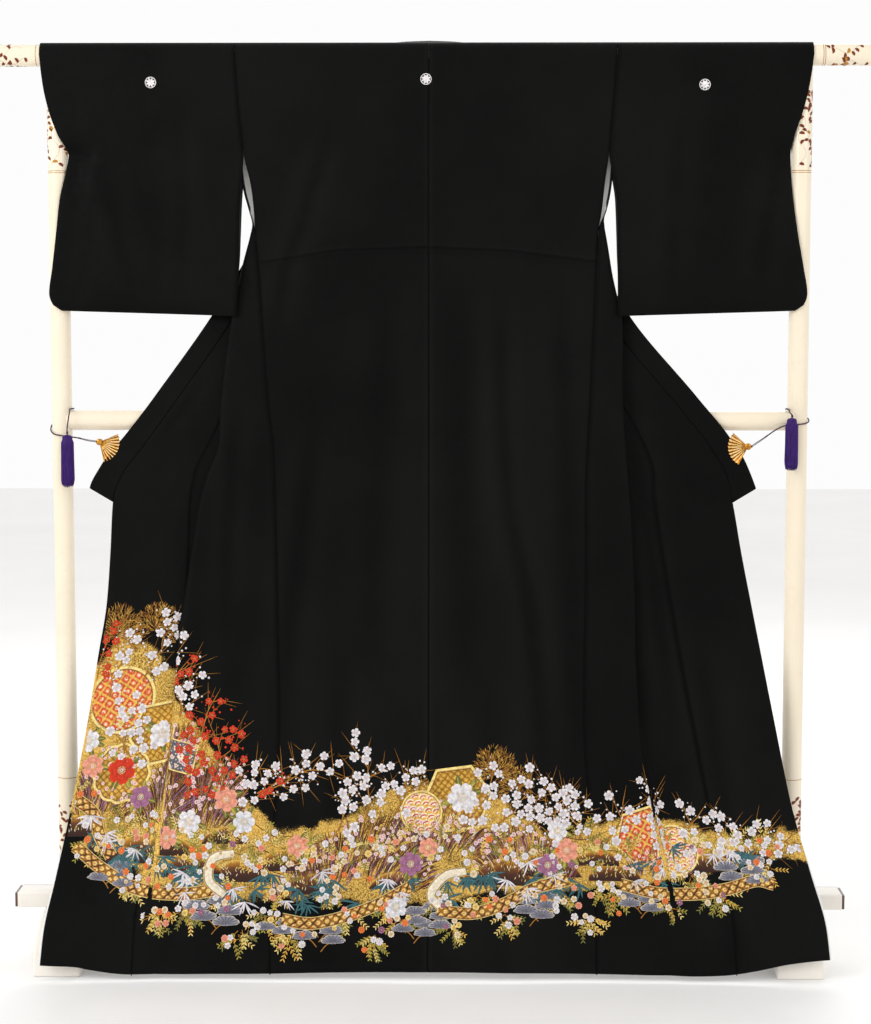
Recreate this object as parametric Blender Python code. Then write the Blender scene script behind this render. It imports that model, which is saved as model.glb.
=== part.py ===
"""Black formal kimono hung by its shoulders over a display stand, seen from its back.

The kimono's back faces -Y. X runs along the rod, Z is up and the floor is at zero.
Distances from the middle of the stand are positive on both sides and get their sign last.
"""
import math

import bmesh
import bpy
import numpy as np
from mathutils import Vector

# Cloth walls and the gaps between pieces
CLOTH = 0.0020
COLLAR_WALL = 0.0040
LINING_WALL = 0.0010
GAP = 0.0003

# Stand
ROD_Z = 1.571
ROD_R = 0.0185
ROD_HALF = 0.785
POST_X = 0.637
POST_R = 0.0175
BAR_Z = 0.947
BAR_R = 0.0172
BEAM_BOTTOM = 0.0890
BEAM_TOP = 0.1165
BEAM_DEPTH = 0.058
BEAM_HALF = 0.725
CAP_WALL = 0.004
FOOT_WIDTH = 0.081
FOOT_HALF_LENGTH = 0.147
ROUND_SIDES = 32

# Kimono
WRAP_STEP = 30.0
WRAP_R = (ROD_R + GAP) / math.cos(math.radians(WRAP_STEP / 2)) + CLOTH / 2
SHOULDER_Z = ROD_Z + WRAP_R
NECK_HALF = 0.085
SEAM_TOP = 1.270
ARMHOLE_BOTTOM = 1.403
COLLAR_TIP = 0.8067
OVERLAP_TOP = 1.360
SEAM_END_GAP = 0.0060
LAYER_GAP = 0.0102
BACK_COLUMNS = 3
SIDE_COLUMNS = 10
OVERLAP_COLUMNS = 4
SECTION_SAMPLES = 400

# Heights of the rows of the body, from the shoulder to the hem
BODY_LEVELS = (
    1.571, 1.540, 1.500, 1.450, 1.403, 1.365, 1.330, 1.300, 1.270, 1.235, 1.190, 1.130,
    1.060, 0.990, 0.920, 0.865, 0.8067, 0.740, 0.650, 0.550, 0.440, 0.320, 0.200, 0.100, 0.012,
)

# Plan of each half of the body by height:
# height, side of the back, side of the front, outer fold beyond that side, inner or front edge
HALF_COLUMNS = ("height", "back_side", "front_side", "overhang", "edge")
HALF = {
    "left": (
        (1.571, 0.3297, 0.3300, -0.0200, 0.0850),
        (1.500, 0.3252, 0.3288, -0.0200, 0.1215),
        (1.450, 0.3208, 0.3277, -0.0200, 0.1490),
        (1.403, 0.3162, 0.3262, -0.0200, 0.1745),
        (1.350, 0.3050, 0.3205, -0.0195, 0.2040),
        (1.310, 0.3005, 0.3100, -0.0070, 0.2270),
        (1.270, 0.2982, 0.2982, 0.0100, 0.2500),
        (1.201, 0.2915, 0.2915, 0.0342, 0.2900),
        (1.110, 0.2848, 0.2848, 0.0580, 0.3452),
        (0.969, 0.2735, 0.2735, 0.0860, 0.4443),
        (0.904, 0.2665, 0.2665, 0.0975, 0.4925),
        (0.852, 0.2645, 0.2645, 0.1200, 0.5312),
        (0.807, 0.2636, 0.2636, 0.1340, 0.5472),
        (0.721, 0.2618, 0.2618, 0.1504, 0.5522),
        (0.632, 0.2603, 0.2603, 0.1670, 0.5588),
        (0.545, 0.2584, 0.2584, 0.1810, 0.5728),
        (0.434, 0.2565, 0.2565, 0.1930, 0.5900),
        (0.300, 0.2620, 0.2620, 0.2030, 0.6143),
        (0.160, 0.2700, 0.2700, 0.2100, 0.6405),
        (0.060, 0.2695, 0.2695, 0.2150, 0.6585),
        (0.000, 0.2690, 0.2690, 0.2150, 0.6620),
    ),
    "right": (
        (1.571, 0.3203, 0.3206, -0.0200, 0.0850),
        (1.500, 0.3150, 0.3195, -0.0200, 0.1190),
        (1.450, 0.3108, 0.3185, -0.0200, 0.1440),
        (1.403, 0.3075, 0.3172, -0.0200, 0.1680),
        (1.350, 0.3005, 0.3130, -0.0190, 0.1960),
        (1.310, 0.2965, 0.3050, -0.0040, 0.2170),
        (1.270, 0.2900, 0.2900, 0.0150, 0.2380),
        (1.201, 0.2866, 0.2866, 0.0300, 0.2660),
        (1.110, 0.2825, 0.2825, 0.0515, 0.3160),
        (0.969, 0.2758, 0.2758, 0.0600, 0.4320),
        (0.904, 0.2725, 0.2725, 0.0680, 0.4840),
        (0.852, 0.2705, 0.2705, 0.0750, 0.5140),
        (0.807, 0.2700, 0.2700, 0.0795, 0.5246),
        (0.721, 0.2705, 0.2705, 0.0850, 0.5400),
        (0.632, 0.2700, 0.2700, 0.0900, 0.5575),
        (0.545, 0.2682, 0.2682, 0.0940, 0.5747),
        (0.434, 0.2680, 0.2680, 0.1020, 0.5965),
        (0.300, 0.2760, 0.2760, 0.1150, 0.6230),
        (0.160, 0.2870, 0.2870, 0.1300, 0.6570),
        (0.060, 0.2880, 0.2880, 0.1400, 0.6795),
        (0.000, 0.2880, 0.2880, 0.1400, 0.6840),
    ),
}

# What both halves share by height: cut width of the front, cut width of the overlap panel,
# length of cloth in each half turn of the fold, depth of the back's middle, depth of the fold's middle
CUT_COLUMNS = ("height", "front", "overlap", "turn", "middle", "fold")
CUT = (
    (1.571, 0.2440, 0.0000, 0.0160, -0.0205, 0.0205),
    (1.450, 0.2440, 0.0000, 0.0160, -0.0203, 0.0200),
    (1.360, 0.2440, 0.0000, 0.0160, -0.0202, 0.0150),
    (1.270, 0.2330, 0.0220, 0.0160, -0.0204, 0.0048),
    (1.110, 0.2320, 0.0610, 0.0160, -0.0206, -0.0135),
    (0.980, 0.2320, 0.0927, 0.0160, -0.0206, -0.0308),
    (0.900, 0.2320, 0.1122, 0.0170, -0.0208, -0.0314),
    (0.807, 0.2320, 0.1350, 0.0190, -0.0235, -0.0335),
    (0.721, 0.2320, 0.1370, 0.0230, -0.0290, -0.0375),
    (0.632, 0.2320, 0.1390, 0.0280, -0.0370, -0.0440),
    (0.545, 0.2320, 0.1410, 0.0330, -0.0465, -0.0530),
    (0.434, 0.2320, 0.1430, 0.0380, -0.0620, -0.0665),
    (0.300, 0.2320, 0.1460, 0.0400, -0.0860, -0.0885),
    (0.160, 0.2320, 0.1490, 0.0400, -0.1180, -0.1190),
    (0.060, 0.2320, 0.1510, 0.0400, -0.1465, -0.1465),
    (0.000, 0.2320, 0.1520, 0.0400, -0.1660, -0.1660),
)

# Share of a half turn that the front's edge has rolled back and out at the neck
NECK_ROLL_COLUMNS = ("height", "turned")
NECK_ROLL = ((1.571, 0.47), (1.540, 0.66), (1.500, 1.00), (1.450, 3.00), (1.403, 40.0))

# Height of the hem above the floor, by signed distance from the middle
HEM_COLUMNS = ("x", "lift")
HEM = (
    (-0.690, 0.0300), (-0.660, 0.0260), (-0.603, 0.0235), (-0.577, 0.0185), (-0.515, 0.0110),
    (-0.450, 0.0105), (0.000, 0.0160), (0.465, 0.0115), (0.506, 0.0130), (0.555, 0.0200),
    (0.615, 0.0325), (0.682, 0.0405), (0.700, 0.0415),
)
HEM_FADE = 0.30

# Sleeves by height: wrist or closed edge, and free edge beside the body
SLEEVE_COLUMNS = ("height", "left_out", "right_out", "left_in", "right_in")
SLEEVE = (
    (1.5900, 0.6643, 0.6547, 0.3303, 0.3209),
    (1.5710, 0.6632, 0.6532, 0.3303, 0.3209),
    (1.5200, 0.6578, 0.6465, 0.3270, 0.3171),
    (1.4700, 0.6465, 0.6345, 0.3229, 0.3128),
    (1.4350, 0.6325, 0.6225, 0.3196, 0.3100),
    (1.4030, 0.6170, 0.6170, 0.3166, 0.3079),
    (1.3700, 0.6215, 0.6180, 0.3190, 0.3140),
    (1.3250, 0.6312, 0.6215, 0.3225, 0.3205),
    (1.2700, 0.6378, 0.6290, 0.3240, 0.3222),
    (1.2100, 0.6455, 0.6400, 0.3255, 0.3234),
    (1.1650, 0.6515, 0.6470, 0.3275, 0.3240),
    (1.1470, 0.6450, 0.6410, 0.3285, 0.3235),
    (1.1375, 0.6310, 0.6270, 0.3290, 0.3230),
)
SLEEVE_LEVELS = (1.571, 1.530, 1.490, 1.452, 1.425, 1.412, 1.403, 1.385, 1.360, 1.325, 1.280, 1.235,
                 1.195, 1.165, 1.147)
SLEEVE_SHARES = (0.0, 0.10, 0.25, 0.42, 0.60, 0.76, 0.90, 0.965, 0.992, 1.0)
SLEEVE_PINCH_SHARE = 0.965
SLEEVE_BOTTOM_IN = 1.1285
SLEEVE_BOTTOM_OUT = 1.1375
SLEEVE_FRONT_Y = -0.0205
SLEEVE_BAG_FRONT_Y = -0.0250
SLEEVE_BAG_REAR_Y = -0.0200
SLEEVE_INNER_REAR_Y = -0.0140
SLEEVE_OVER_FOLD_NEAR_Y = -0.0300
SLEEVE_OVER_FOLD_FAR_Y = -0.0266
SLEEVE_PINCH = 0.0026
POST_WRAP_R = 0.0205

# Collar: stations round the neck, then heights down to the tip
NECK_STATIONS = (
    # distance, depth, height, and direction of the width: out, back, up
    (0.0000, 0.0120, 1.5875, 0.00, 0.96, 0.28),
    (0.0450, 0.0125, 1.5873, 0.00, 0.97, 0.24),
    (0.0720, 0.0150, 1.5850, 0.00, 0.98, 0.18),
)
COLLAR_TURN_STATIONS = (
    # height down the front edge, and direction of the width there: out, back, up
    (1.5710, -0.10, 0.97, 0.16),
    (1.5555, 0.15, 0.93, 0.28),
    (1.5400, 0.44, 0.80, 0.40),
    (1.5200, 0.70, 0.52, 0.46),
    (1.5000, 0.85, 0.10, 0.50),
    (1.4500, 0.86, 0.00, 0.50),
)
COLLAR_LEVELS = tuple(height for height in BODY_LEVELS if COLLAR_TIP <= height < 1.45)
COLLAR_GAP = 0.0005
COLLAR_NECK_GAP = 0.0022
COLLAR_WIDTH_COLUMNS = ("height", "width", "rise")
COLLAR_WIDTH = (
    (1.600, 0.0400, 30.0), (1.480, 0.0390, 30.0), (1.300, 0.0350, 29.0), (1.100, 0.0340, 34.0),
    (0.960, 0.0350, 36.0), (0.860, 0.0390, 33.0), (0.807, 0.0465, 31.0),
)
COLLAR_ACROSS = 3

# White underlayer that shows past the front edges near the hem
UNDERLAYER_TOP = 0.270
UNDERLAYER_WIDTH = 0.030
UNDERLAYER_SHOW = 0.0035

# Fan clips, their cords and the tassels, one row a side:
# side, x and z of the pin, upper and lower angle of the fan, heights of the cord at the upright
# and of the top of the tassel
CLIPS = (
    ("left", 0.5690, 0.9110, 23.0, -78.0, 0.9220, 0.9240),
    ("right", 0.5500, 0.9040, 42.0, -62.0, 0.9420, 0.9540),
)
FAN_R = 0.0345
FAN_ROOT = 0.0050
FAN_RIBS = 8
FAN_WALL = 0.0016
FAN_RELIEF = 0.0007
FAN_FRONT_Y = -0.0246
JAW_R = 0.0300
JAW_Y = -0.0180
PIN_R = 0.0062
PIN_FRONT_Y = -0.0295
CORD_R = 0.0010
CORD_WRAP_R = POST_R + CORD_R + 0.0014
CORD_OVER_BAR_Z = 0.9672
TASSEL_X = 0.6230
TASSEL_Y = -0.0345
TASSEL_LENGTH = 0.091
TASSEL_HEAD = 0.020
TASSEL_HEAD_R = 0.0068
TASSEL_TOP_R = 0.0060
TASSEL_END_R = 0.0122
TASSEL_RINGS = 3
TASSEL_STRANDS = 12

MATERIALS = {
    # colour, roughness, metallic
    "black_silk": ((0.010, 0.010, 0.011), 0.62, 0.0),
    "white_lining": ((0.80, 0.79, 0.76), 0.60, 0.0),
    "cream_lacquer": ((0.80, 0.74, 0.62), 0.28, 0.0),
    "dark_lacquer": ((0.09, 0.03, 0.015), 0.30, 0.0),
    "gold_metal": ((0.80, 0.48, 0.12), 0.32, 1.0),
    "purple_silk": ((0.050, 0.012, 0.140), 0.55, 0.0),
}


def clear_scene():
    """Remove what the file opened with."""
    for item in list(bpy.data.objects):
        bpy.data.objects.remove(item, do_unlink=True)


def make_materials():
    """One plain Principled material for each finish."""
    made = {}
    for name, (colour, roughness, metallic) in MATERIALS.items():
        material = bpy.data.materials.new(name)
        material.use_nodes = True
        shader = material.node_tree.nodes["Principled BSDF"]
        shader.inputs["Base Color"].default_value = (*colour, 1.0)
        shader.inputs["Roughness"].default_value = roughness
        shader.inputs["Metallic"].default_value = metallic
        made[name] = material
    return made


def value(rows, columns, name, key):
    """A column's value between a table's rows, on a smooth curve through them."""
    column = columns.index(name)
    table = sorted((row[0], row[column]) for row in rows)
    keys = [entry[0] for entry in table]
    values = [entry[1] for entry in table]
    if key <= keys[0]:
        return values[0]
    if key >= keys[-1]:
        return values[-1]
    last = len(keys) - 1
    spot = int(np.searchsorted(keys, key, side="right")) - 1
    slopes = [(values[i + 1] - values[i]) / (keys[i + 1] - keys[i]) for i in range(last)]

    def tangent(i):
        if i == 0 or i == last or slopes[i - 1] * slopes[i] <= 0.0:
            return 0.0 if 0 < i < last else slopes[min(i, last - 1)]
        return 2.0 * slopes[i - 1] * slopes[i] / (slopes[i - 1] + slopes[i])

    span = keys[spot + 1] - keys[spot]
    t = (key - keys[spot]) / span
    start, end = values[spot], values[spot + 1]
    return (start * (1 + 2 * t) * (1 - t) ** 2 + end * t * t * (3 - 2 * t)
            + span * t * (1 - t) * (tangent(spot) * (1 - t) - tangent(spot + 1) * t))


def half(side, name, height):
    return value(HALF[side], HALF_COLUMNS, name, height)


def cut(name, height):
    return value(CUT, CUT_COLUMNS, name, height)


def sleeve(name, height):
    return value(SLEEVE, SLEEVE_COLUMNS, name, height)


def smooth(start, end, key):
    """Zero before start, one after end, and a soft step between."""
    t = min(1.0, max(0.0, (key - start) / (end - start)))
    return t * t * (3.0 - 2.0 * t)


def sign(side):
    return -1.0 if side == "left" else 1.0


def hem_lift(x, height):
    """How far a point is raised so that the hem follows its own line."""
    level = BODY_LEVELS[-1]
    share = 1.0 - smooth(level, HEM_FADE, height)
    return (value(HEM, HEM_COLUMNS, "lift", x) - level) * share


def front_section(side, height):
    """Plan of a front at a height: arc length, distance from the middle, depth and bend.

    The cloth runs out from the side seam, turns in behind itself at the outer fold, turns out
    again at the inner fold and ends at the front edge. Above the side seam it starts turned in.
    """
    start = half(side, "front_side", height)
    edge = half(side, "edge", height)
    outer = half(side, "overhang", height)
    length = cut("front", height) + cut("overlap", height)
    turn = cut("turn", height)
    spare = length - (edge - start)
    rolled = value(NECK_ROLL, NECK_ROLL_COLUMNS, "turned", height)
    inner = max(max(outer, 0.0) + spare / 2, length + turn * (0.5 - rolled))
    arc = np.linspace(0.0, length, SECTION_SAMPLES)
    opened = np.clip((arc - outer) / turn + 0.5, 0.0, 1.0)
    closed = np.clip((arc - inner) / turn + 0.5, 0.0, 1.0)
    angle = math.pi * (opened - closed)
    step = length / (SECTION_SAMPLES - 1)
    out = start + np.concatenate(([0.0], np.cumsum(np.cos((angle[1:] + angle[:-1]) / 2)) * step))
    out = out + (edge - out[-1]) * arc / length
    rise = np.concatenate(([0.0], np.cumsum(np.sin((angle[1:] + angle[:-1]) / 2)) * step))
    rise = rise * LAYER_GAP * math.pi / (2 * turn)
    centre = (max(outer, 0.0) + inner) / 2
    depth = cut("fold", height) + rise - np.interp(min(centre, length), arc, rise)
    bend = np.abs(np.gradient(angle, arc))
    return arc, out, depth, bend


def spread(arc, bend, first, last, count):
    """Arc lengths of a row's points, closer together where the cloth bends."""
    inside = np.linspace(first, last, SECTION_SAMPLES)
    weight = 12.0 + np.interp(inside, arc, bend) * 0.35
    total = np.concatenate(([0.0], np.cumsum((weight[1:] + weight[:-1]) / 2)))
    return np.interp(np.linspace(0.0, total[-1], count + 1), total, inside)


def front_row(side, height, first, last, count):
    """Points of a front's row between two arc lengths, from the first to the last."""
    arc, out, depth, bend = front_section(side, height)
    row = []
    for along in spread(arc, bend, first, last, count):
        x = sign(side) * float(np.interp(along, arc, out))
        y = float(np.interp(along, arc, depth))
        row.append((x, y, height + hem_lift(x, height)))
    return row


def back_side_depth(side, height):
    """Depth of the back's side edge: that of the front where they are sewn together."""
    arc, out, depth, bend = front_section(side, min(height, SEAM_TOP))
    if height <= SEAM_TOP:
        return float(depth[0])
    share = smooth(SEAM_TOP, ROD_Z - 0.03, height)
    return float(depth[0]) * (1.0 - share) - WRAP_R * share


def back_row(side, height):
    """Points of the back's row from the middle seam to the side."""
    reach = half(side, "back_side", height) - (GAP / 2 if height <= SEAM_TOP else 0.0)
    top_reach = half(side, "back_side", ROD_Z)
    neck_share = NECK_HALF / top_reach
    shares = [neck_share * i / BACK_COLUMNS for i in range(BACK_COLUMNS)]
    shares += [neck_share + (1 - neck_share) * i / SIDE_COLUMNS for i in range(SIDE_COLUMNS + 1)]
    middle = cut("middle", height)
    edge = back_side_depth(side, height)
    row = []
    for share in shares:
        x = sign(side) * (GAP / 2 + (reach - GAP / 2) * share)
        y = middle + (edge - middle) * smooth(0.30, 1.0, share)
        row.append((x, y, height + hem_lift(x, height)))
    return row


def shoulder_row(side, degrees):
    """Points of a row over the rod, at an angle behind its top."""
    angle = math.radians(degrees)
    flat = back_row(side, ROD_Z)
    return [(x, WRAP_R * math.sin(angle), ROD_Z + WRAP_R * math.cos(angle)) for x, y, z in flat]


def add_object(name, verts, faces, material, wall=None):
    """A mesh object, given a wall on both sides of its surface where it is cloth."""
    mesh = bpy.data.meshes.new(name)
    mesh.from_pydata(verts, [], faces)
    mesh.materials.append(material)
    mesh.validate()
    made = bpy.data.objects.new(name, mesh)
    bpy.context.scene.collection.objects.link(made)
    mesh.shade_smooth()
    if wall:
        solidify = made.modifiers.new("wall", "SOLIDIFY")
        solidify.thickness = wall
        solidify.offset = 0.0
        solidify.use_rim = True
    return made


def grid_faces(rows, flip):
    """Quads between rows of equal length, given as rows of vertex numbers."""
    faces = []
    for upper, lower in zip(rows, rows[1:]):
        for i in range(len(upper) - 1):
            quad = (upper[i], upper[i + 1], lower[i + 1], lower[i])
            faces.append(quad[::-1] if flip else quad)
    return faces


def body(side, materials):
    """One half of the body: back and front in one length of cloth over the shoulder."""
    rows = [back_row(side, height) for height in reversed(BODY_LEVELS)]
    rows += [shoulder_row(side, degrees) for degrees in (-60.0, -30.0, 0.0, 30.0)]
    rows.append(shoulder_row(side, 60.0)[BACK_COLUMNS:])
    for height in BODY_LEVELS:
        opening = SEAM_END_GAP * smooth(1.190, SEAM_TOP, height)
        first = GAP / 2 + opening if height <= SEAM_TOP else 0.0
        last = cut("front", height) - GAP / 2
        rows.append(front_row(side, height, first, last, SIDE_COLUMNS)[::-1])
    verts = []
    numbers = []
    for row in rows:
        numbers.append(list(range(len(verts), len(verts) + len(row))))
        verts.extend(row)
    wide = [row for row in numbers if len(row) > SIDE_COLUMNS + 1]
    narrow = [wide[-1][BACK_COLUMNS:]] + [row for row in numbers if len(row) == SIDE_COLUMNS + 1]
    flip = side == "left"
    faces = grid_faces(wide, flip) + grid_faces(narrow, flip)
    return add_object("body_" + side, verts, faces, materials["black_silk"], CLOTH)


def overlap(side, materials):
    """The overlap panel, sewn to the front's edge and ending at the front edge and the collar."""
    rows = []
    for height in BODY_LEVELS:
        width = cut("overlap", height)
        if height < OVERLAP_TOP and width > 0.008:
            start = cut("front", height)
            rows.append(front_row(side, height, start + GAP / 2, start + width, OVERLAP_COLUMNS))
    verts = [point for row in rows for point in row]
    count = OVERLAP_COLUMNS + 1
    numbers = [list(range(i * count, (i + 1) * count)) for i in range(len(rows))]
    faces = grid_faces(numbers, side == "right")
    return add_object("overlap_" + side, verts, faces, materials["black_silk"], CLOTH)


def edge_point(side, height):
    """End of the front at a height, where the collar is sewn on or the front edge runs."""
    above = min(level for level in BODY_LEVELS if level >= height)
    below = max(level for level in BODY_LEVELS if level <= height)
    ends = [np.array(front_row(side, level, 0.0, cut("front", level) + cut("overlap", level), 1)[1])
            for level in (below, above)]
    share = (height - below) / max(above - below, GAP)
    return tuple(ends[0] + (ends[1] - ends[0]) * share)


def collar_stations(side):
    """Seam point, direction of the width and width at each station, from the middle down."""
    way = sign(side)
    stations = []
    for out, depth, height, wide, back, up in NECK_STATIONS:
        stations.append(((way * out, depth, height), (way * wide, back, up)))
    for height, wide, back, up in COLLAR_TURN_STATIONS:
        x, y, z = edge_point(side, height)
        gap = COLLAR_NECK_GAP
        start = (x + way * wide * gap, y + back * gap, z + up * gap)
        stations.append((start, (way * wide, back, up)))
    for height in COLLAR_LEVELS:
        rise = math.radians(value(COLLAR_WIDTH, COLLAR_WIDTH_COLUMNS, "rise", height))
        x, y, z = edge_point(side, height)
        wide, up = way * math.cos(rise), math.sin(rise)
        stations.append(((x + wide * COLLAR_GAP, y, z + up * COLLAR_GAP), (wide, 0.0, up)))
    return stations


def collar(materials):
    """The collar: one folded strip from tip to tip round the back of the neck."""
    rows = []
    for side in ("left", "right"):
        rows_here = []
        for point, way in collar_stations(side):
            way = np.array(way) / np.linalg.norm(way)
            width = value(COLLAR_WIDTH, COLLAR_WIDTH_COLUMNS, "width", point[2])
            rows_here.append([tuple(np.array(point) + way * width * i / COLLAR_ACROSS)
                              for i in range(COLLAR_ACROSS + 1)])
        rows += rows_here[::-1] if side == "left" else rows_here[1:]
    verts = [point for row in rows for point in row]
    count = COLLAR_ACROSS + 1
    numbers = [list(range(i * count, (i + 1) * count)) for i in range(len(rows))]
    faces = grid_faces(numbers, False)
    return add_object("collar", verts, faces, materials["black_silk"], COLLAR_WALL)


def sleeve_depths(side, height, outer, share):
    """Depth of a sleeve's near and far layers at a share of its width from the body."""
    closed = height <= ARMHOLE_BOTTOM
    bag = smooth(1.350, 1.445, height)
    near = SLEEVE_BAG_FRONT_Y + (SLEEVE_FRONT_Y - SLEEVE_BAG_FRONT_Y) * bag
    far = SLEEVE_INNER_REAR_Y + (WRAP_R - SLEEVE_INNER_REAR_Y) * smooth(1.170, 1.420, height)
    inner = 1.0 - smooth(0.0, 0.25, share)
    beside_body = inner * smooth(1.300, 1.403, height)
    near += (back_side_depth(side, height) - near) * beside_body
    far += (front_section(side, height)[2][0] - far) * beside_body
    over_fold = inner * (1.0 - smooth(1.195, 1.235, height))
    near += (SLEEVE_OVER_FOLD_NEAR_Y - near) * over_fold
    far += (SLEEVE_OVER_FOLD_FAR_Y - far) * over_fold
    if closed:
        across_post = smooth(0.76, 0.90, share) * (1.0 - smooth(1.375, 1.400, height))
        far += (SLEEVE_BAG_REAR_Y - far) * across_post
    reach = min(1.0, max(0.0, (POST_X - outer) / POST_WRAP_R))
    beside_post = math.sqrt(1.0 - reach * reach)
    edge = (SLEEVE_BAG_FRONT_Y + SLEEVE_BAG_REAR_Y) / 2 * beside_post
    at_edge = smooth(0.80, 0.96, share)
    pinched = max(0.0, (share - SLEEVE_PINCH_SHARE) / (1.0 - SLEEVE_PINCH_SHARE))
    apart = SLEEVE_PINCH * math.sqrt(1.0 - pinched * pinched)
    if height < 1.452:
        near += (edge - apart - near) * at_edge
    if closed:
        far += (edge + apart - far) * at_edge
    elif height < 1.440:
        far += (WRAP_R * beside_post + apart - far) * at_edge
    return near, far


def sleeve_rows(side, height):
    """Points of a sleeve's near and far layers at a height, from the body outward."""
    inner = sleeve(side + "_in", height)
    outer = sleeve(side + "_out", height)
    if height >= ARMHOLE_BOTTOM:
        inner_near = half(side, "back_side", height) + GAP
        inner_far = half(side, "front_side", height) + GAP
    else:
        inner_near = inner
        inner_far = max(inner, half(side, "front_side", height) + 2 * GAP)
    near_row, far_row = [], []
    for share in SLEEVE_SHARES:
        near, far = sleeve_depths(side, height, outer, share)
        near_row.append((sign(side) * (inner_near + (outer - inner_near) * share), near, height))
        far_row.append((sign(side) * (inner_far + (outer - inner_far) * share), far, height))
    return near_row, far_row


def sleeve_bag(side, materials):
    """A sleeve: a flat bag over the rod, open at the wrist and beside the body."""
    levels = [sleeve_rows(side, height) for height in SLEEVE_LEVELS]
    count = len(SLEEVE_SHARES)
    verts = []

    def add(points):
        verts.extend(points)
        return list(range(len(verts) - len(points), len(verts)))

    bottom = []
    for share in SLEEVE_SHARES:
        inner = sleeve(side + "_in", SLEEVE_BOTTOM_OUT)
        outer = sleeve(side + "_out", SLEEVE_BOTTOM_OUT)
        height = SLEEVE_BOTTOM_IN + (SLEEVE_BOTTOM_OUT - SLEEVE_BOTTOM_IN) * share
        depth = sum(sleeve_depths(side, SLEEVE_LEVELS[-1], outer, share)) / 2
        bottom.append((sign(side) * (inner + (outer - inner) * share), depth, height))
    bottom = add(bottom)
    near = [add(row[0]) for row in levels]
    over = []
    for degrees in (-60.0, -30.0, 0.0, 30.0, 60.0):
        angle = math.radians(degrees)
        share = (degrees + 90.0) / 180.0
        over.append(add([(a[0] + (b[0] - a[0]) * share, WRAP_R * math.sin(angle),
                          ROD_Z + WRAP_R * math.cos(angle)) for a, b in zip(*levels[0])]))
    far = []
    for height, row, matching in zip(SLEEVE_LEVELS, levels, near):
        if height <= ARMHOLE_BOTTOM:
            far.append(add(row[1][:-1]) + [matching[-1]])
        else:
            far.append(add(row[1]))
    rows = [bottom] + near[::-1] + over + far + [bottom]
    faces = grid_faces(rows, side == "left")
    return add_object("sleeve_" + side, verts, faces, materials["black_silk"], CLOTH)


def underlayer(side, materials):
    """Strip of the white underlayer behind the front edge, showing past it near the hem."""
    offset = CLOTH / 2 + GAP + LINING_WALL / 2
    levels = [UNDERLAYER_TOP] + [height for height in BODY_LEVELS if height < UNDERLAYER_TOP]
    rows = []
    for height in levels:
        shown = UNDERLAYER_SHOW * (1.0 - smooth(0.16, UNDERLAYER_TOP, height)) - 0.0008
        length = cut("front", height) + cut("overlap", height)
        row = front_row(side, height, length - UNDERLAYER_WIDTH, length - 0.004, 1)
        edge = edge_point(side, height)
        row.append((edge[0] + sign(side) * shown, edge[1], edge[2]))
        rows.append([(x, y + offset, z) for x, y, z in row])
    verts = [point for row in rows for point in row]
    numbers = [[3 * i, 3 * i + 1, 3 * i + 2] for i in range(len(rows))]
    faces = grid_faces(numbers, side == "right")
    return add_object("underlayer_" + side, verts, faces, materials["white_lining"], LINING_WALL)


def link_bmesh(name, shape, material):
    """An object from a bmesh, smooth where it is round."""
    bmesh.ops.recalc_face_normals(shape, faces=shape.faces)
    mesh = bpy.data.meshes.new(name)
    shape.to_mesh(mesh)
    shape.free()
    mesh.materials.append(material)
    made = bpy.data.objects.new(name, mesh)
    bpy.context.scene.collection.objects.link(made)
    mesh.shade_smooth()
    mesh.set_sharp_from_angle(angle=math.radians(35.0))
    return made


def cylinder(name, radius, length, centre, axis, material, sides=ROUND_SIDES):
    """A cylinder along X, Y or Z about its centre."""
    shape = bmesh.new()
    bmesh.ops.create_cone(shape, cap_ends=True, segments=sides, radius1=radius, radius2=radius,
                          depth=length)
    turned = {"X": (0.0, math.pi / 2, 0.0), "Y": (math.pi / 2, 0.0, 0.0), "Z": (0.0, 0.0, 0.0)}
    made = link_bmesh(name, shape, material)
    made.rotation_euler = turned[axis]
    made.location = centre
    return made


def cut_away(piece, cutter):
    """Take a hidden cutter out of a piece."""
    cutter.hide_render = True
    cutter.display_type = "WIRE"
    boolean = piece.modifiers.new("cut", "BOOLEAN")
    boolean.operation = "DIFFERENCE"
    boolean.object = cutter


def join_to(piece, other):
    """Fuse a hidden shape to a piece."""
    other.hide_render = True
    other.display_type = "WIRE"
    boolean = piece.modifiers.new("join", "BOOLEAN")
    boolean.operation = "UNION"
    boolean.object = other


def box(name, low, high, material, bevel=0.0):
    """A block between two corners, its edges rounded by a bevel."""
    shape = bmesh.new()
    bmesh.ops.create_cube(shape, size=1.0)
    size = [b - a for a, b in zip(low, high)]
    middle = [(a + b) / 2 for a, b in zip(low, high)]
    for vert in shape.verts:
        vert.co = [c * s + m for c, s, m in zip(vert.co, size, middle)]
    if bevel:
        bmesh.ops.bevel(shape, geom=shape.edges[:], offset=bevel, segments=2, profile=0.5,
                        affect="EDGES")
    return link_bmesh(name, shape, material)


def rod(materials):
    """The round top rail, with a dark cap on each end."""
    cylinder("rod", ROD_R, 2 * ROD_HALF, (0.0, 0.0, ROD_Z), "X", materials["cream_lacquer"])
    for side in ("left", "right"):
        place = sign(side) * (ROD_HALF + GAP + CAP_WALL / 2)
        cylinder("rod_cap_" + side, ROD_R, CAP_WALL, (place, 0.0, ROD_Z), "X", materials["dark_lacquer"])


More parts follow.
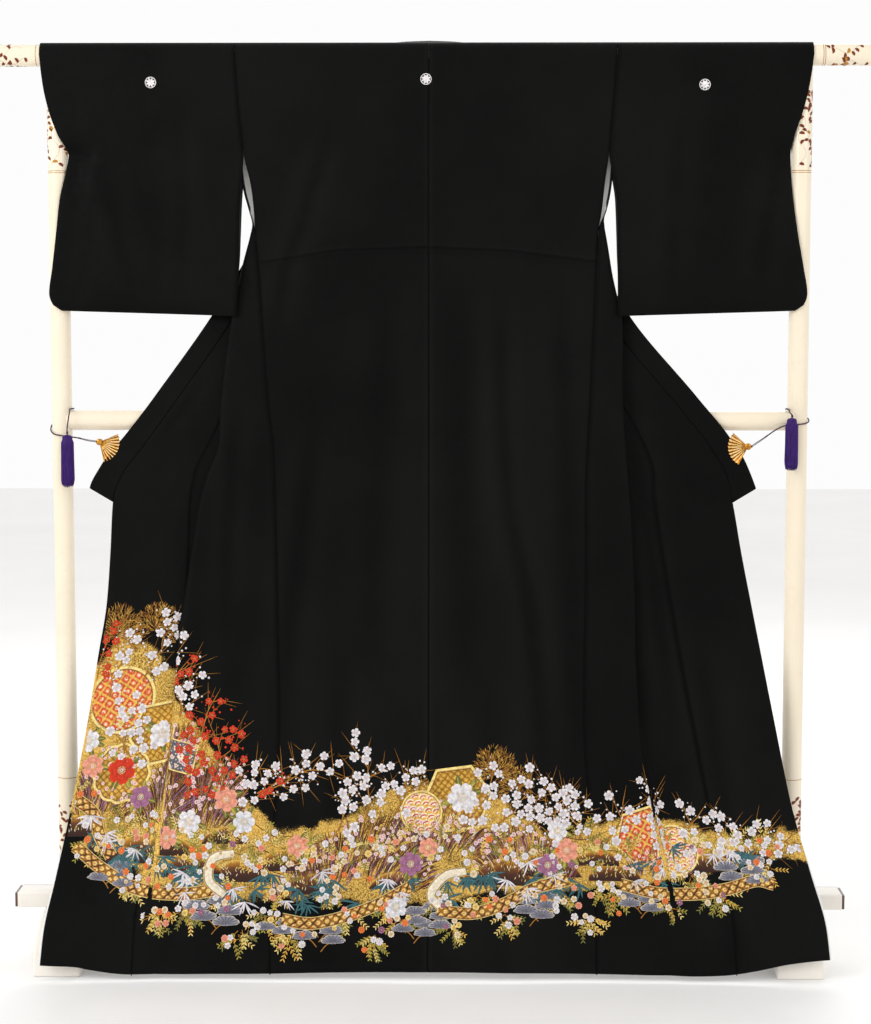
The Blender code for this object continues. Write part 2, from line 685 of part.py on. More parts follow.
def post(side, materials):
    """An upright between the beam and the rod, its top hollowed to the rod."""
    bottom = BEAM_TOP + GAP
    top = ROD_Z - ROD_R / 2
    centre = (sign(side) * POST_X, 0.0, (bottom + top) / 2)
    upright = cylinder("post_" + side, POST_R, top - bottom, centre, "Z", materials["cream_lacquer"])
    seat = cylinder("seat_cutter_" + side, ROD_R + GAP, 4 * POST_R, (centre[0], 0.0, ROD_Z), "X",
                    materials["cream_lacquer"])
    cut_away(upright, seat)


def middle_bar(materials):
    """The cross bar between the uprights, its ends hollowed to them."""
    length = 2 * (POST_X - POST_R / 2)
    bar = cylinder("middle_bar", BAR_R, length, (0.0, 0.0, BAR_Z), "X", materials["cream_lacquer"])
    for side in ("left", "right"):
        seat = cylinder("bar_cutter_" + side, POST_R + GAP, 4 * BAR_R,
                        (sign(side) * POST_X, 0.0, BAR_Z), "Z", materials["cream_lacquer"])
        cut_away(bar, seat)


def beam(materials):
    """The flat lower beam on the feet, with a dark plate on each end."""
    deep = BEAM_DEPTH / 2
    box("beam", (-BEAM_HALF, -deep, BEAM_BOTTOM), (BEAM_HALF, deep, BEAM_TOP),
        materials["cream_lacquer"], 0.002)
    for side in ("left", "right"):
        near = BEAM_HALF + GAP
        ends = sorted((sign(side) * near, sign(side) * (near + CAP_WALL)))
        box("beam_cap_" + side, (ends[0], -deep + 0.002, BEAM_BOTTOM + 0.001),
            (ends[1], deep - 0.002, BEAM_TOP - 0.002), materials["dark_lacquer"])


def foot_outline():
    """Profile of a foot from front to back: flat below, arched above."""
    top = BEAM_BOTTOM - GAP
    front = [(-FOOT_HALF_LENGTH, 0.0), (-FOOT_HALF_LENGTH, 0.026), (-0.143, 0.038), (-0.132, 0.050),
             (-0.110, 0.064), (-0.080, 0.078), (-0.050, 0.086), (-0.031, top)]
    return front + [(-y, z) for y, z in reversed(front)]


def foot(side, materials):
    """A foot across the rod's line, arched up to the beam."""
    shape = bmesh.new()
    left = sign(side) * POST_X - FOOT_WIDTH / 2
    outline = [shape.verts.new((left, y, z)) for y, z in foot_outline()]
    face = shape.faces.new(outline)
    grown = bmesh.ops.extrude_face_region(shape, geom=[face])
    for item in grown["geom"]:
        if isinstance(item, bmesh.types.BMVert):
            item.co.x += FOOT_WIDTH
    bmesh.ops.recalc_face_normals(shape, faces=shape.faces)
    rims = [edge for edge in shape.edges if edge.is_manifold and edge.calc_face_angle() > 1.2]
    rims = [edge for edge in rims if max(v.co.z for v in edge.verts) > 0.001]
    bmesh.ops.bevel(shape, geom=rims, offset=0.003, segments=2, profile=0.5, affect="EDGES")
    return link_bmesh("foot_" + side, shape, materials["cream_lacquer"])


def fan_shape(name, pivot, angles, radius, front, wall, relief, material):
    """A small folding fan in the XZ plane, ribbed on its front, about its pivot."""
    shape = bmesh.new()
    steps = 2 * FAN_RIBS
    near, far = [], []
    for i in range(steps + 1):
        angle = math.radians(angles[0] + (angles[1] - angles[0]) * i / steps)
        way = (math.cos(angle), math.sin(angle))
        lift = relief if i % 2 else 0.0
        reach = radius + (0.0006 if i % 2 == 0 else -0.0006)
        for ring, (depth, rise) in ((near, (front, lift)), (far, (front + wall, 0.0))):
            ring.append([shape.verts.new((pivot[0] + way[0] * r, depth + rise * share,
                                          pivot[1] + way[1] * r))
                         for r, share in ((FAN_ROOT, 0.0), (reach, 1.0))])
    for i in range(steps):
        a, b, c, d = near[i], near[i + 1], far[i], far[i + 1]
        shape.faces.new((a[0], a[1], b[1], b[0]))
        shape.faces.new((c[0], d[0], d[1], c[1]))
        shape.faces.new((a[1], c[1], d[1], b[1]))
        shape.faces.new((a[0], b[0], d[0], c[0]))
    for near_edge, far_edge in ((near[0], far[0]), (near[-1], far[-1])):
        shape.faces.new((near_edge[0], near_edge[1], far_edge[1], far_edge[0]))
    return link_bmesh(name, shape, material)


def clip(row, materials):
    """A gilt fan clip on the collar's edge: fan in front, jaw behind and a pin through both."""
    side, pivot_x, pivot_z, top, bottom, wrap_z, tassel_z = row
    gold = materials["gold_metal"]
    pivot = (sign(side) * pivot_x, pivot_z)
    angles = (top, bottom) if side == "left" else (180.0 - top, 180.0 - bottom)
    fan = fan_shape("clip_" + side, pivot, angles, FAN_R, FAN_FRONT_Y - FAN_WALL, FAN_WALL,
                    FAN_RELIEF, gold)
    jaw = fan_shape("jaw_cutter_" + side, pivot, angles, JAW_R, JAW_Y, FAN_WALL / 2, 0.0, gold)
    rear = JAW_Y + FAN_WALL / 2
    pin = cylinder("pin_cutter_" + side, PIN_R, rear - PIN_FRONT_Y + 0.0004,
                   (pivot[0], (PIN_FRONT_Y + rear + 0.0004) / 2, pivot[1]), "Y", gold, 16)
    join_to(fan, pin)
    join_to(fan, jaw)


def smooth_curve(points, spacing):
    """Evenly spaced points along a smooth curve through the given ones."""
    ends = [2 * np.array(points[0]) - np.array(points[1])]
    ends += [np.array(p) for p in points]
    ends += [2 * np.array(points[-1]) - np.array(points[-2])]
    fine = []
    for a, b, c, d in zip(ends, ends[1:], ends[2:], ends[3:]):
        for i in range(20):
            t = i / 20
            fine.append(0.5 * (2 * b + (c - a) * t + (2 * a - 5 * b + 4 * c - d) * t * t
                               + (3 * b - a - 3 * c + d) * t ** 3))
    fine.append(np.array(points[-1]))
    fine = np.array(fine)
    along = np.concatenate(([0.0], np.cumsum(np.linalg.norm(np.diff(fine, axis=0), axis=1))))
    count = max(2, round(along[-1] / spacing))
    return [tuple(float(np.interp(s, along, fine[:, k])) for k in range(3))
            for s in np.linspace(0.0, along[-1], count + 1)]


def tube(name, points, material):
    """A thin cord as a round curve through points."""
    curve = bpy.data.curves.new(name, "CURVE")
    curve.dimensions = "3D"
    curve.bevel_depth = CORD_R
    curve.bevel_resolution = 2
    curve.use_fill_caps = True
    path = smooth_curve(points, 5 * CORD_R)
    spline = curve.splines.new("POLY")
    spline.points.add(len(path) - 1)
    for target, point in zip(spline.points, path):
        target.co = (*point, 1.0)
    curve.materials.append(material)
    made = bpy.data.objects.new(name, curve)
    bpy.context.scene.collection.objects.link(made)
    return made


def clip_cord_route(row):
    """From the clip's pin round the upright, over the middle bar and down to the tassel."""
    side, pivot_x, pivot_z, top, bottom, wrap_z, tassel_z = row
    points = [(pivot_x + PIN_R + GAP, -0.0265, pivot_z + 0.001),
              (pivot_x + 0.022, -0.0262, pivot_z + 0.30 * (wrap_z - pivot_z)),
              (POST_X - 0.030, -0.0240, wrap_z - 0.004)]
    turns = 10
    for i in range(turns):
        angle = math.radians(-85.0 + 300.0 * i / (turns - 1))
        rise = smooth(0.0, 0.84, i / (turns - 1))
        points.append((POST_X + CORD_WRAP_R * math.cos(angle), CORD_WRAP_R * math.sin(angle),
                       wrap_z + (CORD_OVER_BAR_Z - wrap_z) * rise))
    points += [(TASSEL_X - 0.0035, TASSEL_Y + 0.0075, CORD_OVER_BAR_Z - 0.003),
               (TASSEL_X, TASSEL_Y, min(CORD_OVER_BAR_Z - 0.008, tassel_z + 0.012)),
               (TASSEL_X, TASSEL_Y, tassel_z + GAP)]
    return [(sign(side) * x, y, z) for x, y, z in points]


def tassel(row, materials):
    """A tassel: turned head with a skirt of square strands fused to its underside."""
    side, tassel_z = row[0], row[-1]
    shape = bmesh.new()
    centre = Vector((sign(side) * TASSEL_X, TASSEL_Y, 0.0))
    head_bottom = tassel_z - TASSEL_HEAD
    profile = ((0.0046, 0.0), (0.0064, -0.0022), (TASSEL_HEAD_R, -0.0060), (0.0062, -0.0105),
               (0.0048, -0.0130), (0.0050, -0.0150), (TASSEL_TOP_R, -0.0170), (TASSEL_TOP_R, -TASSEL_HEAD))
    around = TASSEL_STRANDS
    rings = []
    for radius, drop in profile:
        rings.append([shape.verts.new(centre + Vector((radius * math.cos(2 * math.pi * k / around),
                                                       radius * math.sin(2 * math.pi * k / around),
                                                       tassel_z + drop))) for k in range(around)])
    below = [rings[-1]]
    for ring in range(1, TASSEL_RINGS):
        radius = TASSEL_TOP_R * (1.0 - 0.82 * ring / TASSEL_RINGS)
        below.append([shape.verts.new(centre + Vector((radius * math.cos(2 * math.pi * k / around),
                                                       radius * math.sin(2 * math.pi * k / around),
                                                       head_bottom))) for k in range(around)])
    middle = [shape.verts.new(centre + Vector((0.0011 * math.cos(2 * math.pi * k / around),
                                               0.0011 * math.sin(2 * math.pi * k / around),
                                               head_bottom))) for k in range(around)]
    below.append(middle)
    for upper, lower in zip(rings, rings[1:]):
        for k in range(around):
            j = (k + 1) % around
            shape.faces.new((upper[k], upper[j], lower[j], lower[k]))
    roots = []
    for outer, inner in zip(below, below[1:]):
        for k in range(around):
            j = (k + 1) % around
            roots.append(shape.faces.new((outer[k], outer[j], inner[j], inner[k])))
    shape.faces.new(rings[0][::-1])
    shape.faces.new(middle)
    bmesh.ops.recalc_face_normals(shape, faces=shape.faces)
    bmesh.ops.inset_individual(shape, faces=roots, thickness=0.00022)
    flare = TASSEL_END_R / TASSEL_TOP_R - 1.0
    length = TASSEL_LENGTH - TASSEL_HEAD
    strands = bmesh.ops.extrude_discrete_faces(shape, faces=roots)["faces"]
    for face in strands:
        spot = face.calc_center_median()
        away = Vector((spot.x - centre.x, spot.y - centre.y, 0.0))
        uneven = 0.002 * math.sin(7.0 * math.atan2(away.y, away.x) + 1300.0 * away.length)
        for vert in face.verts:
            vert.co += away * flare
            vert.co.z += uneven - length
    return link_bmesh("tassel_" + side, shape, materials["purple_silk"])


def build():
    """Model the kimono, its stand and what holds its fronts out."""
    clear_scene()
    materials = make_materials()
    for side in ("left", "right"):
        body(side, materials)
        overlap(side, materials)
        sleeve_bag(side, materials)
        underlayer(side, materials)
        post(side, materials)
        foot(side, materials)
    collar(materials)
    rod(materials)
    middle_bar(materials)
    beam(materials)
    for row in CLIPS:
        clip(row, materials)
        tassel(row, materials)
        side = row[0]
        tube("clip_cord_" + side, clip_cord_route(row), materials["purple_silk"])


build()
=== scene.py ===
"""Looks of the black formal kimono on its stand: fine cloth, hem design, lacquer, clips and light."""
import math

import bmesh
import bpy
import numpy as np
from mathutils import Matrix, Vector


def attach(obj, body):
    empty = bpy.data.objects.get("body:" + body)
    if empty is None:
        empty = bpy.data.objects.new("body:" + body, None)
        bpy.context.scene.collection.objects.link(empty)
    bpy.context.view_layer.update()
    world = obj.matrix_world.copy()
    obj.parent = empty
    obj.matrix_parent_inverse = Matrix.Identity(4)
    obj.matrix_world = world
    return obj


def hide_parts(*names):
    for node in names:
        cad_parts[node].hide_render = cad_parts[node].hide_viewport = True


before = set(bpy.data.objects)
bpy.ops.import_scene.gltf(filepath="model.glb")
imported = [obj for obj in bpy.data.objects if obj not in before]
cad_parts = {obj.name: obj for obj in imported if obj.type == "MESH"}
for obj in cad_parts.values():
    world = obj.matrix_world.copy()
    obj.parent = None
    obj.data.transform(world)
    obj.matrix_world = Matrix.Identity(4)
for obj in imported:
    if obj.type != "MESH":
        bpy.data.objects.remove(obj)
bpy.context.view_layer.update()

# Sizes of the solids, as in the part's source
CLOTH = 0.0020
COLLAR_WALL = 0.0040
LINING_WALL = 0.0010
GAP = 0.0003
ROD_Z = 1.571
ROD_R = 0.0185
POST_X = 0.637
POST_R = 0.0175
BAR_Z = 0.947
WRAP_R = (ROD_R + GAP) / math.cos(math.radians(15.0)) + CLOTH / 2
NECK_HALF = 0.085
SEAM_TOP = 1.270
ARMHOLE_BOTTOM = 1.403
COLLAR_TIP = 0.8067
OVERLAP_TOP = 1.360
SEAM_END_GAP = 0.0010
LAYER_GAP = 0.0102
SECTION_SAMPLES = 400
HEM_LEVEL = 0.012

# Heights between which the side seam's edges part, and weights of level and bent cloth in a row's spacing
SEAM_PARTS = 1.190
SEAM_APART = 1.300
EVEN_WEIGHT = 12.0
BEND_WEIGHT = 0.35

# Each half of the garment by height: widths along the cloth, and how far out its edge hangs
HALF_COLUMNS = ("height", "back_side", "front_side", "overhang", "edge")
HALF = {
    "left": (
        (1.571, 0.3297, 0.3300, -0.0200, 0.0850), (1.500, 0.3252, 0.3288, -0.0200, 0.1215),
        (1.450, 0.3208, 0.3277, -0.0200, 0.1490), (1.403, 0.3162, 0.3262, -0.0200, 0.1745),
        (1.350, 0.3050, 0.3205, -0.0195, 0.2040), (1.310, 0.3005, 0.3100, -0.0070, 0.2270),
        (1.270, 0.2982, 0.2982, 0.0100, 0.2500), (1.201, 0.2915, 0.2915, 0.0342, 0.2900),
        (1.110, 0.2848, 0.2848, 0.0580, 0.3452), (0.969, 0.2735, 0.2735, 0.0860, 0.4443),
        (0.904, 0.2665, 0.2665, 0.0975, 0.4925), (0.852, 0.2645, 0.2645, 0.1200, 0.5312),
        (0.807, 0.2636, 0.2636, 0.1340, 0.5472), (0.721, 0.2618, 0.2618, 0.1504, 0.5522),
        (0.632, 0.2603, 0.2603, 0.1670, 0.5588), (0.545, 0.2584, 0.2584, 0.1810, 0.5728),
        (0.434, 0.2565, 0.2565, 0.1930, 0.5900), (0.300, 0.2620, 0.2620, 0.2030, 0.6143),
        (0.160, 0.2700, 0.2700, 0.2100, 0.6405), (0.060, 0.2695, 0.2695, 0.2150, 0.6585),
        (0.000, 0.2690, 0.2690, 0.2150, 0.6620),
    ),
    "right": (
        (1.571, 0.3203, 0.3206, -0.0200, 0.0850), (1.500, 0.3150, 0.3195, -0.0200, 0.1190),
        (1.450, 0.3108, 0.3185, -0.0200, 0.1440), (1.403, 0.3075, 0.3172, -0.0200, 0.1680),
        (1.350, 0.3005, 0.3130, -0.0190, 0.1960), (1.310, 0.2965, 0.3050, -0.0040, 0.2170),
        (1.270, 0.2900, 0.2900, 0.0150, 0.2380), (1.201, 0.2866, 0.2866, 0.0300, 0.2660),
        (1.110, 0.2825, 0.2825, 0.0515, 0.3160), (0.969, 0.2758, 0.2758, 0.0600, 0.4320),
        (0.904, 0.2725, 0.2725, 0.0680, 0.4840), (0.852, 0.2705, 0.2705, 0.0750, 0.5140),
        (0.807, 0.2700, 0.2700, 0.0795, 0.5246), (0.721, 0.2705, 0.2705, 0.0850, 0.5400),
        (0.632, 0.2700, 0.2700, 0.0900, 0.5575), (0.545, 0.2682, 0.2682, 0.0940, 0.5747),
        (0.434, 0.2680, 0.2680, 0.1020, 0.5965), (0.300, 0.2760, 0.2760, 0.1150, 0.6230),
        (0.160, 0.2870, 0.2870, 0.1300, 0.6570), (0.060, 0.2880, 0.2880, 0.1400, 0.6795),
        (0.000, 0.2880, 0.2880, 0.1400, 0.6840),
    ),
}
CUT_COLUMNS = ("height", "front", "overlap", "turn", "middle", "fold")
CUT = (
    (1.571, 0.2440, 0.0000, 0.0160, -0.0205, 0.0205),
    (1.450, 0.2440, 0.0000, 0.0160, -0.0203, 0.0200),
    (1.360, 0.2440, 0.0000, 0.0160, -0.0202, 0.0150),
    (1.270, 0.2330, 0.0220, 0.0160, -0.0204, 0.0048),
    (1.110, 0.2320, 0.0610, 0.0160, -0.0206, -0.0135),
    (0.980, 0.2320, 0.0927, 0.0160, -0.0206, -0.0308),
    (0.900, 0.2320, 0.1122, 0.0170, -0.0208, -0.0314),
    (0.807, 0.2320, 0.1350, 0.0190, -0.0235, -0.0335),
    (0.721, 0.2320, 0.1370, 0.0230, -0.0290, -0.0375),
    (0.632, 0.2320, 0.1390, 0.0280, -0.0370, -0.0440),
    (0.545, 0.2320, 0.1410, 0.0330, -0.0465, -0.0530),
    (0.434, 0.2320, 0.1430, 0.0380, -0.0620, -0.0665),
    (0.300, 0.2320, 0.1460, 0.0400, -0.0860, -0.0885),
    (0.160, 0.2320, 0.1490, 0.0400, -0.1180, -0.1190),
    (0.060, 0.2320, 0.1510, 0.0400, -0.1465, -0.1465),
    (0.000, 0.2320, 0.1520, 0.0400, -0.1660, -0.1660),
)
NECK_ROLL_COLUMNS = ("height", "turned")
NECK_ROLL = ((1.571, 0.47), (1.540, 0.66), (1.500, 1.00), (1.450, 3.00), (1.403, 40.0))
HEM_COLUMNS = ("x", "lift")
HEM = (
    (-0.690, 0.0300), (-0.660, 0.0260), (-0.603, 0.0235), (-0.577, 0.0185), (-0.515, 0.0110),
    (-0.450, 0.0105), (0.000, 0.0160), (0.465, 0.0115), (0.506, 0.0130), (0.555, 0.0200),
    (0.615, 0.0325), (0.682, 0.0405), (0.700, 0.0415),
)
HEM_FADE = 0.30

# Sleeves: outer and inner edges by height, levels of the rows, and depths of the bag
SLEEVE_COLUMNS = ("height", "left_out", "right_out", "left_in", "right_in")
SLEEVE = (
    (1.5900, 0.6643, 0.6547, 0.3303, 0.3209), (1.5710, 0.6632, 0.6532, 0.3303, 0.3209),
    (1.5200, 0.6578, 0.6465, 0.3270, 0.3171), (1.4700, 0.6465, 0.6345, 0.3229, 0.3128),
    (1.4350, 0.6325, 0.6225, 0.3196, 0.3100), (1.4030, 0.6170, 0.6170, 0.3166, 0.3079),
    (1.3700, 0.6215, 0.6180, 0.3190, 0.3140), (1.3250, 0.6312, 0.6215, 0.3225, 0.3205),
    (1.2700, 0.6378, 0.6290, 0.3240, 0.3222), (1.2100, 0.6455, 0.6400, 0.3255, 0.3234),
    (1.1650, 0.6515, 0.6470, 0.3275, 0.3240), (1.1470, 0.6450, 0.6410, 0.3285, 0.3235),
    (1.1375, 0.6310, 0.6270, 0.3290, 0.3230),
)
SLEEVE_LEVELS = (1.571, 1.530, 1.490, 1.452, 1.425, 1.412, 1.403, 1.385, 1.360, 1.325, 1.280, 1.235,
                 1.195, 1.165, 1.147)
SLEEVE_PINCH_SHARE = 0.965
SLEEVE_BOTTOM_IN = 1.1285
SLEEVE_BOTTOM_OUT = 1.1375
SLEEVE_FRONT_Y = -0.0205
SLEEVE_BAG_FRONT_Y = -0.0250
SLEEVE_BAG_REAR_Y = -0.0200
SLEEVE_INNER_REAR_Y = -0.0140
SLEEVE_OVER_FOLD_NEAR_Y = -0.0300
SLEEVE_OVER_FOLD_FAR_Y = -0.0266
SLEEVE_PINCH = 0.0026
POST_WRAP_R = 0.0205
SLEEVE_SHARES = (0.0, 0.10, 0.25, 0.60, 0.90)
SLEEVE_SHARE_STEP = 0.03
SLEEVE_STEP = 0.009
SLEEVE_EDGE_SHARES = (0.918, 0.935, 0.95, 0.965, 0.974, 0.983, 0.992, 1.0)
SLEEVE_BOTTOM_SHARES = (0.25, 0.60)
SLEEVE_NEAR_EDGE_TOP = 1.452
SLEEVE_FAR_EDGE_TOP = 1.440

# Collar's inner edge: distance from the middle, depth and height, then the way across (wide, back, up)
NECK_STATIONS = (
    (0.0000, 0.0120, 1.5875, 0.00, 0.96, 0.28),
    (0.0450, 0.0125, 1.5873, 0.00, 0.97, 0.24),
    (0.0720, 0.0150, 1.5850, 0.00, 0.98, 0.18),
)
# Collar beside the neck: height on the front's edge, then the way across
COLLAR_TURN_STATIONS = (
    (1.5710, -0.10, 0.97, 0.16), (1.5555, 0.15, 0.93, 0.28), (1.5400, 0.44, 0.80, 0.40),
    (1.5200, 0.70, 0.52, 0.46), (1.5000, 0.85, 0.10, 0.50), (1.4500, 0.86, 0.00, 0.50),
)
COLLAR_GAP = 0.0005
COLLAR_NECK_GAP = 0.0022
COLLAR_WIDTH_COLUMNS = ("height", "width", "rise")
COLLAR_WIDTH = (
    (1.600, 0.0400, 30.0), (1.480, 0.0390, 30.0), (1.300, 0.0350, 29.0), (1.100, 0.0340, 34.0),
    (0.960, 0.0350, 36.0), (0.860, 0.0390, 33.0), (0.807, 0.0465, 31.0),
)
UNDERLAYER_TOP = 0.270
UNDERLAYER_WIDTH = 0.030
UNDERLAYER_SHOW = 0.0035

# Clips: side, pin's distance and height, fan's edges in degrees, heights of the cord's turn and the tassel
CLIPS = (
    ("left", 0.5690, 0.9110, 23.0, -78.0, 0.9220, 0.9240),
    ("right", 0.5500, 0.9040, 42.0, -62.0, 0.9420, 0.9540),
)
FAN_R = 0.0345
FAN_WALL = 0.0016
FAN_FRONT_Y = -0.0246
JAW_R = 0.0300
JAW_Y = -0.0180
PIN_R = 0.0062
PIN_FRONT_Y = -0.0295
CORD_R = 0.0010
CORD_WRAP_R = POST_R + CORD_R + 0.0014
CORD_OVER_BAR_Z = 0.9672
TASSEL_X = 0.6230
TASSEL_Y = -0.0345
TASSEL_LENGTH = 0.091
FAN_PLEATS = 10
FAN_STEPS = 3
PLEAT_DEPTH = 0.0016
RIB_START = 0.0042
CORD_STEP = 0.0006
CORD_LAY = 0.0052
CORD_UNTWISTED = 55
TASSEL_STRANDS = 250
TASSEL_OUTER = 96
GOLDEN_TURN = 2.39996

# Finer cloth: columns and rows of its meshes, the padded roll at the hem, rounded rims
SIDE_FINE = 48
OVERLAP_FINE = 22
COLLAR_FINE = 8
FUKI = 0.014
COLLAR_STEP = 0.006
COLLAR_KNOT_STEP = 0.012
SOFT_EDGE = 0.0004
COLLAR_SOFT_EDGE = 0.0016
LINING_SOFT_EDGE = 0.0003
WIDE_WRAP_ROWS = 8
ROLL_END = 1.450
NECK_DISTANCES = (0.0, 0.0012, 0.0026, 0.0042, 0.0062, 0.0090, 0.0150, 0.0270, 0.0400, 0.0550, 0.0700)
LEVEL_SPANS = (
    # from, to, step
    (1.571, 1.403, 0.010), (1.403, 1.250, 0.009), (1.250, 1.213, 0.0017), (1.213, 0.975, 0.009),
    (0.975, 0.920, 0.004), (0.920, 0.040, 0.009), (0.040, HEM_LEVEL, 0.0028),
)

# Soft folds pressed or hung into the cloth: width, depth, then points (x, z) from the top down
FOLDS = (
    (0.016, 0.0030, ((-0.172, 1.440), (-0.217, 1.285), (-0.246, 1.212), (-0.262, 1.120))),
    (0.022, 0.0032, ((-0.196, 0.955), (-0.232, 0.675), (-0.255, 0.430))),
    (0.018, 0.0036, ((0.121, 1.165), (0.126, 0.940), (0.138, 0.790), (0.174, 0.637), (0.193, 0.430))),
    (0.014, 0.0026, ((-0.330, 0.985), (-0.346, 0.745), (-0.350, 0.630))),
    (0.012, 0.0016, ((-0.394, 1.012), (-0.462, 0.915))),
    (0.016, 0.0030, ((0.338, 1.022), (0.376, 0.775), (0.408, 0.525), (0.420, 0.460))),
    (0.017, 0.0022, ((-0.557, 1.385), (-0.515, 1.185))),
    (0.012, 0.0016, ((-0.580, 1.310), (-0.594, 1.172))),
    (0.018, 0.0022, ((0.600, 1.412), (0.572, 1.268), (0.563, 1.194))),
    (0.030, 0.0022, ((-0.070, 1.200), (-0.085, 0.900), (-0.100, 0.560))),
    (0.034, 0.0020, ((0.060, 1.120), (0.052, 0.760), (0.066, 0.420))),
    (0.022, 0.0024, ((0.222, 1.190), (0.236, 0.900), (0.246, 0.620), (0.262, 0.400))),
    (0.026, 0.0030, ((-0.150, 0.560), (-0.160, 0.300), (-0.166, 0.060))),
    (0.030, 0.0030, ((0.105, 0.500), (0.112, 0.260), (0.116, 0.050))),
    (0.024, 0.0028, ((-0.395, 0.640), (-0.432, 0.350), (-0.452, 0.060))),
    (0.022, 0.0026, ((0.470, 0.560), (0.505, 0.300), (0.520, 0.060))),
    (0.015, 0.0014, ((-0.430, 1.480), (-0.418, 1.330), (-0.425, 1.180))),
    (0.016, 0.0014, ((0.430, 1.480), (0.418, 1.340), (0.412, 1.170))),
)
# Fine ripples: waves across and down, depth, start
RIPPLES = ((9.0, 2.3, 0.0010, 0.3), (15.0, 3.9, 0.0006, 1.7), (5.0, 7.1, 0.0007, 4.0),
           (23.0, 6.0, 0.0003, 2.2))
# Stitched tuck across the back: x and z, and the distances between which it fades out
TUCK = ((-0.293, 1.219), (-0.156, 1.240), (-0.007, 1.2455), (0.132, 1.240), (0.278, 1.222))
TUCK_ENDS = (0.300, 0.285)

# Seams sewn with visible thread: the heights that each runs between
SEAMS = (
    ("side", 1.400, 0.0100), ("overlap", 1.340, 0.0100), ("collar", 1.400, COLLAR_TIP + 0.0005),
    ("sleeve", 1.571, 1.408), ("sleeve_rear", 1.400, SLEEVE_LEVELS[-1]),
)
THREAD_R = 0.00085
THREAD_STEP = 0.008
# Shading value at the cloth's seam edges, near the darkest: painted shade along the seams
SEAM_PAINTED_SHADE = 0.06

# Colours of the silk, its lining and its gold dust
SILK_TONES = ((0.0022, 0.0021, 0.0020), (0.0036, 0.0034, 0.0032))
# Painted shade for fold troughs, seams and the tuck, and painted highlight for fold ridges
SILK_PAINTED_SHADE = (0.0004, 0.0004, 0.0004)
SILK_PAINTED_HIGHLIGHT = (0.0072, 0.0070, 0.0066)
DUST_TONES = ((0.11, 0.050, 0.010), (0.50, 0.275, 0.055))
DUST_GLINT = (0.82, 0.54, 0.130)
HEM_LINING = (0.0085, 0.0080, 0.0076)
HEM_LINING_TOP = 0.5200

# Upper and lower edge of the gold mist: distance along the cloth from the back's middle, height
GOLD_TOP = (
    (-0.66, 0.50), (-0.60, 0.585), (-0.53, 0.560), (-0.46, 0.500), (-0.40, 0.430), (-0.33, 0.330),
    (-0.26, 0.262), (-0.20, 0.260), (-0.12, 0.290), (-0.04, 0.330), (0.05, 0.335), (0.13, 0.300),
    (0.20, 0.262), (0.28, 0.262), (0.37, 0.285), (0.46, 0.262), (0.55, 0.248), (0.66, 0.250),
)
GOLD_LOW = (
    (-0.66, 0.290), (-0.60, 0.250), (-0.50, 0.165), (-0.38, 0.140), (-0.25, 0.135), (-0.10, 0.130),
    (0.00, 0.128), (0.12, 0.145), (0.25, 0.150), (0.40, 0.165), (0.52, 0.190), (0.60, 0.205), (0.66, 0.205),
)

# Hem design: seed, height of its shapes above the cloth, sizes and numbers of its parts
DESIGN_SEED = 31
LIFT_BASE = 0.00030
LIFT_STEP = 0.00012
BLOOM_LEVEL = 5
HILL_LEVEL = 1.4
BLOSSOM_ROOM = 0.0135
FLORET_ROOM = 0.0085
PANEL_RINGS = 30
PANEL_SPOKES = 132
BAND_COLUMNS = 12
BAND_STEP = 0.0019
PINE_SPOKES = 48
HILL_SPOKES = 33
HILL_GRASSES = 500
BLADES = 7
BLADE_FAN = 1.35
STAMENS = 14
WATER_LINES = 40
BLADE_CLUSTERS = 84
SPRIGS = 40
CREST_PETALS = 8
CREST_SPOKES = 56
VINES = 5
VINE_STEP = 0.004
# Chance of a blossom and of a bud at each point of a branch, a side twig and its own twigs
TWIG_SHARES = ((0.20, 0.3), (0.38, 0.6), (0.54, 0.8))
# Inks of the flowers, heart and rim, and of a blossom's stamens
BLOSSOM_INKS = {"white": ("lilac", "white", "mauve"), "red": ("deep_red", "red", "gold")}
BLOOM_INKS = {"white": ("lilac", "white"), "salmon": ("rose", "salmon"), "mauve": ("plum", "mauve"),
              "red": ("deep_red", "red"), "blue": ("blue", "white")}
POSY_INKS = (("lilac", "white"), ("ochre", "cream"), ("red", "orange"), ("rose", "salmon"), ("plum", "mauve"),
             ("ochre", "pale_gold"))
TUFT_INKS = ("deep_gold", "ochre", "gold", "brown")
MOUND_INKS = ("umber", "brown", "mauve", "plum", "ochre", "cream", "deep_gold")
# Rings of a hill: share of its height, ink, brightness, metal
HILL_RINGS = ((1.0, "gold", 1.0, 0.5), (0.86, "ochre", 0.9, 0.3), (0.66, "brown", 1.0, 0.1),
              (0.44, "umber", 1.0, 0.0), (0.22, "umber", 0.6, 0.0), (0.0, "umber", 0.4, 0.0))

# Heights and distances of the table that puts the design on the cloth, and what stays bare at its edges
TABLE_STEP = 0.010
TABLE_HEIGHTS = np.arange(0.020, 0.7401, TABLE_STEP)
DESIGN_FRONT_START = 0.300
TABLE_REACH = np.arange(0.030, 0.672, 0.0020)
FOLD_MARGIN = 0.0018
EDGE_MARGIN = 0.0020

# Plain roundels in the crests' places: name, x, z, the cloth that each is on
CRESTS = (("crest_left", -0.4736, 1.5238, "sleeve_left"), ("crest_back", -0.0047, 1.5291, "body_left"),
          ("crest_right", 0.4688, 1.5194, "sleeve_right"))

# Rounded edges of the stand, and painted lengths of the posts and of each end of the rod
BEAM_EDGE = 0.0050
FOOT_EDGE = 0.0060
POST_PAINTED = ((0.120, 0.318), (1.372, 1.546))
ROD_PAINTED = (0.670, 0.755)

